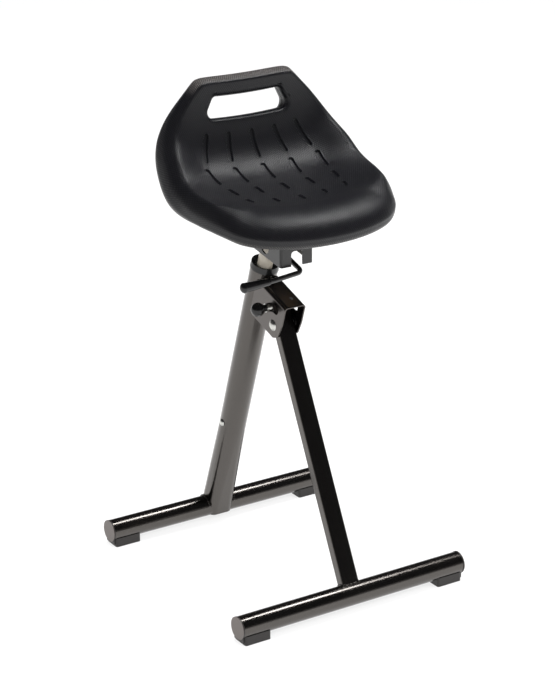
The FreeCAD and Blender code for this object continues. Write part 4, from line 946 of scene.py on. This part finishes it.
    def add_edge(self, loops: Loops, rays: Rays, controls: Array, side_reflection_weight: Array) -> Array:
        """Follow the skin's profile over the crease and the rim.

        Args:
            loops: The loops so far.
            rays: The seat's rays.
            controls: Profile points at each ray.
            side_reflection_weight: 1 for rays at the sides, where the painted reflection is strongest.

        Returns:
            (Outward, depth) of the profile's end at each ray.
        """
        spans = controls.shape[1] - 1
        shares = np.linspace(0, 1, spans * self.loops_per_span + 1)
        path = through(np.moveaxis(controls, 1, 0), shares)
        last = rays.rim + rays.off_rim * controls[:, :1, 0]
        run = np.zeros(len(rays.rim))
        reflection_strength = self.reflection_band_front_share + (1 - self.reflection_band_front_share) * side_reflection_weight
        for i, share in enumerate(shares[:-1]):
            if i:
                run = run + np.hypot(*(path[i] - path[i - 1]).T)
            place = np.array(share * spans)
            # Lower edge and the handle's top face painted lighter: painted reflection
            reflection_band = smooth_step(place, *self.reflection_band_place) * reflection_strength
            crown_reflection = smooth_step(rays.rim[:, 1], *self.crown_reflection_zone) * smooth_step(place, *self.crown_reflection_place)
            loops.add(rays.rim + rays.off_rim * path[i][:, :1], path[i][:, 1],
                      last + rays.off_rim * run[:, None], np.maximum(reflection_band, self.crown_reflection_share * crown_reflection))
        return path[-1]

    def add_underside(self, loops: Loops, rays: Rays, edge: Array, side_reflection_weight: Array) -> None:
        """Return along the underside to the slot's rear lip, easing into the shell's own depth.

        Args:
            loops: The loops so far.
            rays: The seat's rays.
            edge: (Outward, depth) at which the profile ended.
            side_reflection_weight: 1 for rays at the sides, where the painted reflection is strongest.
        """
        start = rays.rim + rays.off_rim * edge[:, :1]
        end = rays.slot + rays.from_slot * self.rear_flare
        for t in np.linspace(0, 1, self.under_loops + 1)[:-1]:
            domain = start * (1 - t) + end * t
            own = self.thickness(domain[:, 0], domain[:, 1])
            depth = edge[:, 1] + (own - edge[:, 1]) * smooth_step(np.array(t), 0, self.under_ease)
            # Underside near the rim painted lighter too, fading inwards: painted reflection
            loops.add(domain, depth, domain, self.reflection_band_under_share * (1 - t) * side_reflection_weight)

    def add_rear_lip(self, loops: Loops, rays: Rays) -> None:
        """Round the slot's rear lip as a quarter ellipse and close at the middle of its wall.

        Args:
            loops: The loops so far.
            rays: The seat's rays.
        """
        for t in np.linspace(math.pi / 2, 0, self.rear_lip_loops + 1)[:-1]:
            domain = rays.slot + rays.from_slot * (self.rear_flare * (1 - math.cos(t)))
            loops.add(domain, rays.wall - self.rear_lip * (1 - math.sin(t)), domain)
        lip_depth = rays.wall - self.rear_lip
        for t in np.linspace(0, 1, self.rear_wall_loops + 1)[:-1]:
            depth = lip_depth + (rays.wall / 2 - lip_depth) * t
            loops.add(rays.slot, depth, rays.slot - rays.from_slot * depth[:, None])

    def build(self, material: bpy.types.Material) -> bpy.types.Object:
        """Build the seat as one closed grid.

        Each ray starts in the middle of the slot's wall, rounds its front lip, crosses the upper
        surface, follows the skin profile over the rim, returns along the underside and closes at the wall.

        Args:
            material: The foam's finish.

        Returns:
            The seat.
        """
        rays, loops = self.rays(), Loops()
        controls = self.profile(rays.rim)
        rim_s = rays.rim[:, 1]
        # Painted reflection is full at the sides and weaker at the front and towards the handle
        side_reflection_weight = smooth_step(rim_s, *self.reflection_band_front_zone) * (1 - smooth_step(rim_s, *self.reflection_band_rear_zone))
        self.add_front_lip(loops, rays)
        top_from = len(loops.domains)
        self.add_top(loops, rays.slot + rays.from_slot * self.lip, rays.rim + rays.off_rim * controls[:, :1, 0])
        top_to = len(loops.domains)
        edge = self.add_edge(loops, rays, controls, side_reflection_weight)
        self.add_underside(loops, rays, edge, side_reflection_weight)
        self.add_rear_lip(loops, rays)
        domain, depth, chart = (np.stack(part, axis=1) for part in (loops.domains, loops.depths, loops.maps))
        on_top = np.zeros(depth.shape)
        on_top[:, top_from:top_to] = 1
        seat = grid_mesh("seat_skin", np.concatenate([domain, depth[..., None]], axis=-1), True, True)
        values = {"across": domain[..., 0], "along": domain[..., 1], "depth": depth, "on_top": on_top,
                  "map_u": chart[..., 0], "map_v": chart[..., 1], "reflection_band": np.stack(loops.reflection_bands, axis=1)}
        for name, value in values.items():
            layer = seat.data.attributes.new(name, "FLOAT", "POINT")
            layer.data.foreach_set("value", value.astype(np.float32).ravel())
        self.refine(seat.data, domain, on_top)
        self.place(seat.data)
        seat.data.materials.append(material)
        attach(seat, "seat")
        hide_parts("seat_pad")
        log.info("seat_skin: %d faces", len(seat.data.polygons))
        return seat

    def refine(self, mesh: bpy.types.Mesh, domain: Array, on_top: Array) -> None:
        """Divide the mesh more finely along the grooves. The attributes are divided with it.

        Args:
            mesh: The seat's mesh, whose points still hold x, s and depth.
            domain: x and s of its points.
            on_top: 1 for the points of the upper surface.
        """
        near = (self.groove_gap(domain[..., 0], domain[..., 1]) < self.refine_reach) & (on_top > 0)
        flags = near.ravel()
        work = bmesh.new()
        work.from_mesh(mesh)
        work.verts.ensure_lookup_table()
        edges = [edge for edge in work.edges if flags[edge.verts[0].index] and flags[edge.verts[1].index]]
        bmesh.ops.subdivide_edges(work, edges=edges, cuts=self.refine_cuts, use_grid_fill=True)
        work.to_mesh(mesh)
        work.free()

    def place(self, mesh: bpy.types.Mesh) -> None:
        """Place every point from its own three numbers, sink the grooves and map the skin.

        A groove sinks with a soft step at its edge. A bell curve just outside it makes a low rim.

        Args:
            mesh: The seat's mesh with its attributes. All but reflection_band, the painted reflection, are used up.
        """
        read = {}
        for name in ("across", "along", "depth", "on_top", "map_u", "map_v"):
            read[name] = np.zeros(len(mesh.vertices), np.float32)
            mesh.attributes[name].data.foreach_get("value", read[name])
        gap = self.groove_gap(read["across"], read["along"])
        on_top = read["on_top"] > 0.5
        trough = self.groove_depth * (1 - smooth_step(gap, *self.groove_wall_zone)) * on_top
        rise = self.groove_rise * np.exp(-((gap - self.groove_rise_at) / self.groove_rise_reach) ** 2) * on_top
        point, normal = self.surface(read["across"], read["along"])
        place = point - normal * (read["depth"] + trough - rise)[:, None]
        mesh.vertices.foreach_set("co", (place * MM).astype(np.float32).ravel())
        corner = np.zeros(len(mesh.loops), np.int32)
        mesh.loops.foreach_get("vertex_index", corner)
        chart = np.stack([read["map_u"], read["map_v"]], axis=1)[corner] * MM
        mesh.uv_layers.new(name="surface").data.foreach_set("uv", chart.astype(np.float32).ravel())
        mesh.polygons.foreach_set("use_smooth", np.ones(len(mesh.polygons), bool))
        for name in read:
            mesh.attributes.remove(mesh.attributes[name])
        mesh.update()


# Welds


@dataclass
class Weld:
    """Fillet weld bead: a thin tube of uneven radius along the seam, with the ripples of the torch."""

    name: str
    body: str
    radius: float = 2.0
    ripple: float = 0.22
    ripple_length: float = 3.0
    points_per_ripple: int = 5
    sides: int = 10
    least_points: int = 24
    slow_wave: float = 0.31
    end_points: int = 4

    def build(self, path: Array, material: bpy.types.Material, closed: bool = True) -> bpy.types.Object:
        """Lay the bead.

        Its radius is the mean plus two sine waves along the seam. An open bead runs out at both ends.

        Args:
            path: Seam points in millimetres.
            material: The paint over the weld.
            closed: Whether the seam is a loop.

        Returns:
            The bead.
        """
        length = float(np.sum(np.linalg.norm(np.diff(path, axis=0), axis=1)))
        count = max(self.least_points, int(length / (self.ripple_length / self.points_per_ripple)))
        line = even_steps(path, count, closed)
        phase = np.arange(count) * length / count / self.ripple_length * 2 * math.pi
        radius = self.radius + self.ripple * np.sin(phase) + self.ripple * np.sin(phase * self.slow_wave + 1)
        if not closed:
            from_end = np.minimum(np.arange(count), np.arange(count)[::-1])
            radius = radius * np.sqrt(np.clip(from_end / self.end_points, 0.02, 1))
        bead = grid_mesh(self.name, tube_along(line, radius, self.sides, closed), closed, True)
        bead.data.materials.append(material)
        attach(bead, self.body)
        log.info("%s: %d faces", self.name, len(bead.data.polygons))
        return bead


@dataclass
class Undercarriage:
    """Welds of the painted frame, from the sizes of its column, strut and feet."""

    lean: float = math.radians(18.17)
    foot_y: float = 226.5
    foot_z: float = 28.2
    foot_radius: float = 20.0
    strut_width: float = 35.0
    strut_depth: float = 20.0
    strut_corner: float = 4.0
    squeeze_width: float = 53.6
    cheek_proud: float = 0.3
    cheek_reach: float = 62.0
    cheek_points: int = 60
    outline_points: int = 120
    strut_bead: float = 2.0
    column_bead: float = 2.2
    pivot_forward: float = 84.4
    pivot_up: float = 488.5

    def column_point(self, x: Array, forward: Array, up: Array) -> Array:
        """Place points given in the column's own directions.

        Args:
            x: Across.
            forward: Forward of the column's middle line.
            up: Along the column, from the middle of the rear foot tube.

        Returns:
            The points.
        """
        y = self.foot_y - up * math.sin(self.lean) - forward * math.cos(self.lean)
        z = self.foot_z + up * math.cos(self.lean) - forward * math.sin(self.lean)
        return np.stack([x + 0 * y, y, z], axis=-1)

    def strut_lean(self) -> float:
        """Lean of the folding strut, from the front foot to the pivot.

        Returns:
            The angle in radians.
        """
        pivot = self.column_point(np.zeros(1), np.array([self.pivot_forward]), np.array([self.pivot_up]))[0]
        return math.atan2(pivot[1] + self.foot_y, pivot[2] - self.foot_z)

    def rounded_rectangle(self, width: float, depth: float, corner: float, count: int) -> Array:
        """Outline of a rounded rectangle: four quarter circles joined by straight lines.

        Args:
            width: Size across.
            depth: Size from front to back.
            corner: Radius of the corners.
            count: Points, evenly spaced.

        Returns:
            The closed outline, its start not repeated.
        """
        arcs = []
        for turn, (sx, sy) in enumerate(((1, 1), (-1, 1), (-1, -1), (1, -1))):
            angle = np.linspace(0, math.pi / 2, 9) + turn * math.pi / 2
            centre = np.array([sx * (width / 2 - corner), sy * (depth / 2 - corner)])
            arcs.append(centre + corner * np.stack([np.cos(angle), np.sin(angle)], axis=1))
        return even_steps(np.vstack(arcs), count, True)

    def strut_seam(self) -> Array:
        """Where the strut's outline meets the front foot tube.

        Returns:
            The closed seam.
        """
        outline = self.rounded_rectangle(self.strut_width, self.strut_depth, self.strut_corner, self.outline_points)
        lean = self.strut_lean()
        offset = outline[:, 1]
        # Along the strut's axis the tube's surface lies at the root of radius squared less offset squared
        up = np.sqrt(self.foot_radius ** 2 - offset ** 2)
        y = -self.foot_y + up * math.sin(lean) + offset * math.cos(lean)
        z = self.foot_z + up * math.cos(lean) - offset * math.sin(lean)
        return np.stack([outline[:, 0], y, z], axis=1)

    def column_seam(self, side: int) -> Array:
        """Where one cheek of the squeezed column meets the rear foot tube: an arc about the tube.

        Args:
            side: -1 for left, 1 for right.

        Returns:
            The open seam.
        """
        half = self.squeeze_width / 2 + self.cheek_proud
        reach = math.radians(self.cheek_reach)
        angle = np.linspace(-reach, reach, self.cheek_points)
        up = self.foot_radius * np.cos(angle)
        forward = self.foot_radius * np.sin(angle)
        return self.column_point(np.full(self.cheek_points, side * half), forward, up)

    def build(self, paint: bpy.types.Material) -> None:
        """Lay every weld of the frame.

        Args:
            paint: The finish over the welds.
        """
        Weld("strut_weld", "strut_leg", self.strut_bead).build(self.strut_seam(), paint)
        for word, side in (("left", -1), ("right", 1)):
            Weld(f"column_weld_{word}", "rear_frame", self.column_bead).build(self.column_seam(side), paint, False)


# Studio


@dataclass(frozen=True)
class Lamp:
    """Square soft lamp that faces a point, in metres and watts."""

    name: str
    place: Tuple[float, float, float]
    aim_height: float
    size: float
    power: float
    mirrored: bool = False

    def build(self) -> bpy.types.Object:
        """Hang the lamp.

        Returns:
            The lamp. Only a mirrored one shows in gloss.
        """
        data = bpy.data.lights.new(self.name, "AREA")
        data.shape = "SQUARE"
        data.size = self.size
        data.energy = self.power
        lamp = bpy.data.objects.new(self.name, data)
        bpy.context.scene.collection.objects.link(lamp)
        lamp.location = self.place
        aim = Vector((0, 0, self.aim_height)) - Vector(self.place)
        lamp.rotation_euler = aim.to_track_quat("-Z", "Y").to_euler()
        lamp.visible_glossy = self.mirrored
        return lamp


@dataclass
class Studio:
    """Plain pale floor, soft lamps and the photograph's camera."""

    camera_at: Tuple[float, float, float] = (-1.9784, -3.0688, 1.8115)
    right: Tuple[float, float, float] = (0.8414, -0.5404, 0.0)
    back: Tuple[float, float, float] = (-0.5046, -0.7857, 0.3577)
    lens: float = 113.66
    sensor: float = 36.0
    floor_colour: str = "#fcfcfc"
    floor_reach: float = 30.0
    floor_lift: float = 0.74
    room_strength: float = 0.9
    horizon: Tuple[float, float, float, float] = (0.42, 0.415, 0.41, 1)
    overhead: Tuple[float, float, float, float] = (0.03, 0.03, 0.033, 1)
    dim_from: float = 0.08
    dim_to: float = 0.2
    lamps: Tuple[Lamp, ...] = (
        Lamp("key lamp", (-2.2, -2.4, 2.2), 0.5, 2.0, 50),
        Lamp("top lamp", (0.3, 0.6, 3.2), 0.5, 2.4, 80),
        Lamp("seat lamp", (1.5, 0.1, 3.2), 0.75, 0.7, 34, mirrored=True),
        Lamp("right lamp", (2.1, -1.9, 2.0), 0.7, 1.2, 60))

    def camera(self) -> None:
        """Stand the camera where the photograph was taken from."""
        data = bpy.data.cameras.new("camera")
        data.lens = self.lens
        data.sensor_width = self.sensor
        camera = bpy.data.objects.new("camera", data)
        bpy.context.scene.collection.objects.link(camera)
        back = Vector(self.back).normalized()
        right = Vector(self.right).normalized()
        up = back.cross(right)
        turn = Matrix((right, up, back)).transposed()
        camera.matrix_world = Matrix.Translation(self.camera_at) @ turn.to_4x4()
        bpy.context.scene.camera = camera

    def floor(self) -> None:
        """Lay a wide pale floor that looks white to the camera and keeps the shadow."""
        mesh = bpy.data.meshes.new("floor")
        reach = self.floor_reach
        mesh.from_pydata([(-reach, -reach, 0), (reach, -reach, 0), (reach, reach, 0), (-reach, reach, 0)], [],
                         [(0, 1, 2, 3)])
        floor = bpy.data.objects.new("floor", mesh)
        bpy.context.scene.collection.objects.link(floor)
        material, tree = new_material("studio floor")
        path = add_node(tree, "LightPath")
        straight = add_node(tree, "Math", {"operation": "MAXIMUM"},
                            {"0": path.outputs["Is Camera Ray"], "1": path.outputs["Is Glossy Ray"]})
        seen = add_node(tree, "Math", {"operation": "MAXIMUM"},
                        {"0": straight.outputs["Value"], "1": path.outputs["Is Transmission Ray"]})
        matt = add_node(tree, "BsdfDiffuse", {"Color": linear(self.floor_colour)})
        glow = add_node(tree, "Emission", {"Color": (1, 1, 1, 1)}, {"Strength": seen.outputs["Value"]})
        lift = add_node(tree, "MixShader", {"Fac": self.floor_lift},
                        {"1": matt.outputs["BSDF"], "2": glow.outputs["Emission"]})
        add_node(tree, "OutputMaterial", {}, {"Surface": lift.outputs["Shader"]})
        mesh.materials.append(material)

    def world(self) -> None:
        """Light the room evenly, darker overhead for what mirrors it.

        A mirrored direction is coloured by how steeply it rises, from the horizon's grey to the ceiling's.
        """
        world = bpy.data.worlds.new("studio")
        bpy.context.scene.world = world
        world.use_nodes = True
        tree = world.node_tree
        tree.nodes.clear()
        direction = add_node(tree, "TexCoord").outputs["Generated"]
        split = add_node(tree, "SeparateXYZ", {}, {"Vector": direction})
        ramp = add_node(tree, "ValToRGB", {"ramp": ((self.dim_from, self.horizon), (self.dim_to, self.overhead))},
                        {"Fac": split.outputs["Z"]})
        path = add_node(tree, "LightPath")
        plain = add_node(tree, "Background", {"Color": (1, 1, 1, 1), "Strength": self.room_strength})
        mirrored = add_node(tree, "Background", {"Strength": 1.0}, {"Color": ramp.outputs["Color"]})
        mixed = add_node(tree, "MixShader", {}, {"0": path.outputs["Is Glossy Ray"], "1": plain.outputs["Background"],
                                                 "2": mirrored.outputs["Background"]})
        add_node(tree, "OutputWorld", {}, {"Surface": mixed.outputs["Shader"]})

    def build(self) -> None:
        """Set up the whole studio."""
        bpy.context.scene.view_settings.view_transform = "Standard"
        self.camera()
        self.floor()
        self.world()
        for lamp in self.lamps:
            lamp.build()
        log.info("studio: floor, %d lamps, camera", len(self.lamps))


def dress(frame: Dict[str, Any]) -> Dict[str, bpy.types.Material]:
    """Give every node of the frame its finish.


    Returns:
        The materials by slot name.
    """
    finishes = {
        Slot.FRAME: PowderCoat("anthracite powder coat", "#5f5b58", "#4d4a47", 0.22, 1.0),
        Slot.BRACKET: PowderCoat("bracket powder coat", "#5f5a57", "#4d4946", 0.24, 1.0),
        Slot.CARRIER: PowderCoat("black powder coat", "#141313", "#0c0b0b", 0.3, 0.0),
        Slot.CYLINDER: PowderCoat("silver grey enamel", "#d8d0c2", "#cfc6b6", 0.3, 0.0),
        Slot.BLACK: MouldedPlastic("black polyamide", "#060607", "#0e0e0f", 0.2),
        Slot.CAP: FootCapPlastic(),
        Slot.KNOB: MouldedPlastic("polished phenolic", "#080808", "#101010", 0.12, grain_height_mm=0.002),
        Slot.ZINC: PlatedSteel("bright zinc plate", "#dcdcd8", "#b9b9b4", 0.18),
        Slot.SPRING: PlatedSteel("ground steel", "#b3b2ae", "#8d8c88", 0.3),
        Slot.FOAM: IntegralFoam(),
        Slot.PLYWOOD: BirchPlywood(),
    }
    materials = {slot.value: finish.build() for slot, finish in finishes.items()}
    slots = {part["node"]: part["material_slot"] for part in frame["record"]["subparts"]}
    for name, obj in frame["nodes"].items():
        obj.data.materials.clear()
        obj.data.materials.append(materials[slots[name]])
        log.info("%s: %s", name, materials[slots[name]].name)
    return materials


def main() -> None:
    """Build the stool's looks around the frame."""
    logging.basicConfig(level=logging.INFO)
    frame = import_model()
    materials = dress(frame)
    Seat().build(materials[Slot.FOAM.value])
    Undercarriage().build(materials[Slot.FRAME.value])
    Studio().build()


if __name__ == "__main__":
    main()
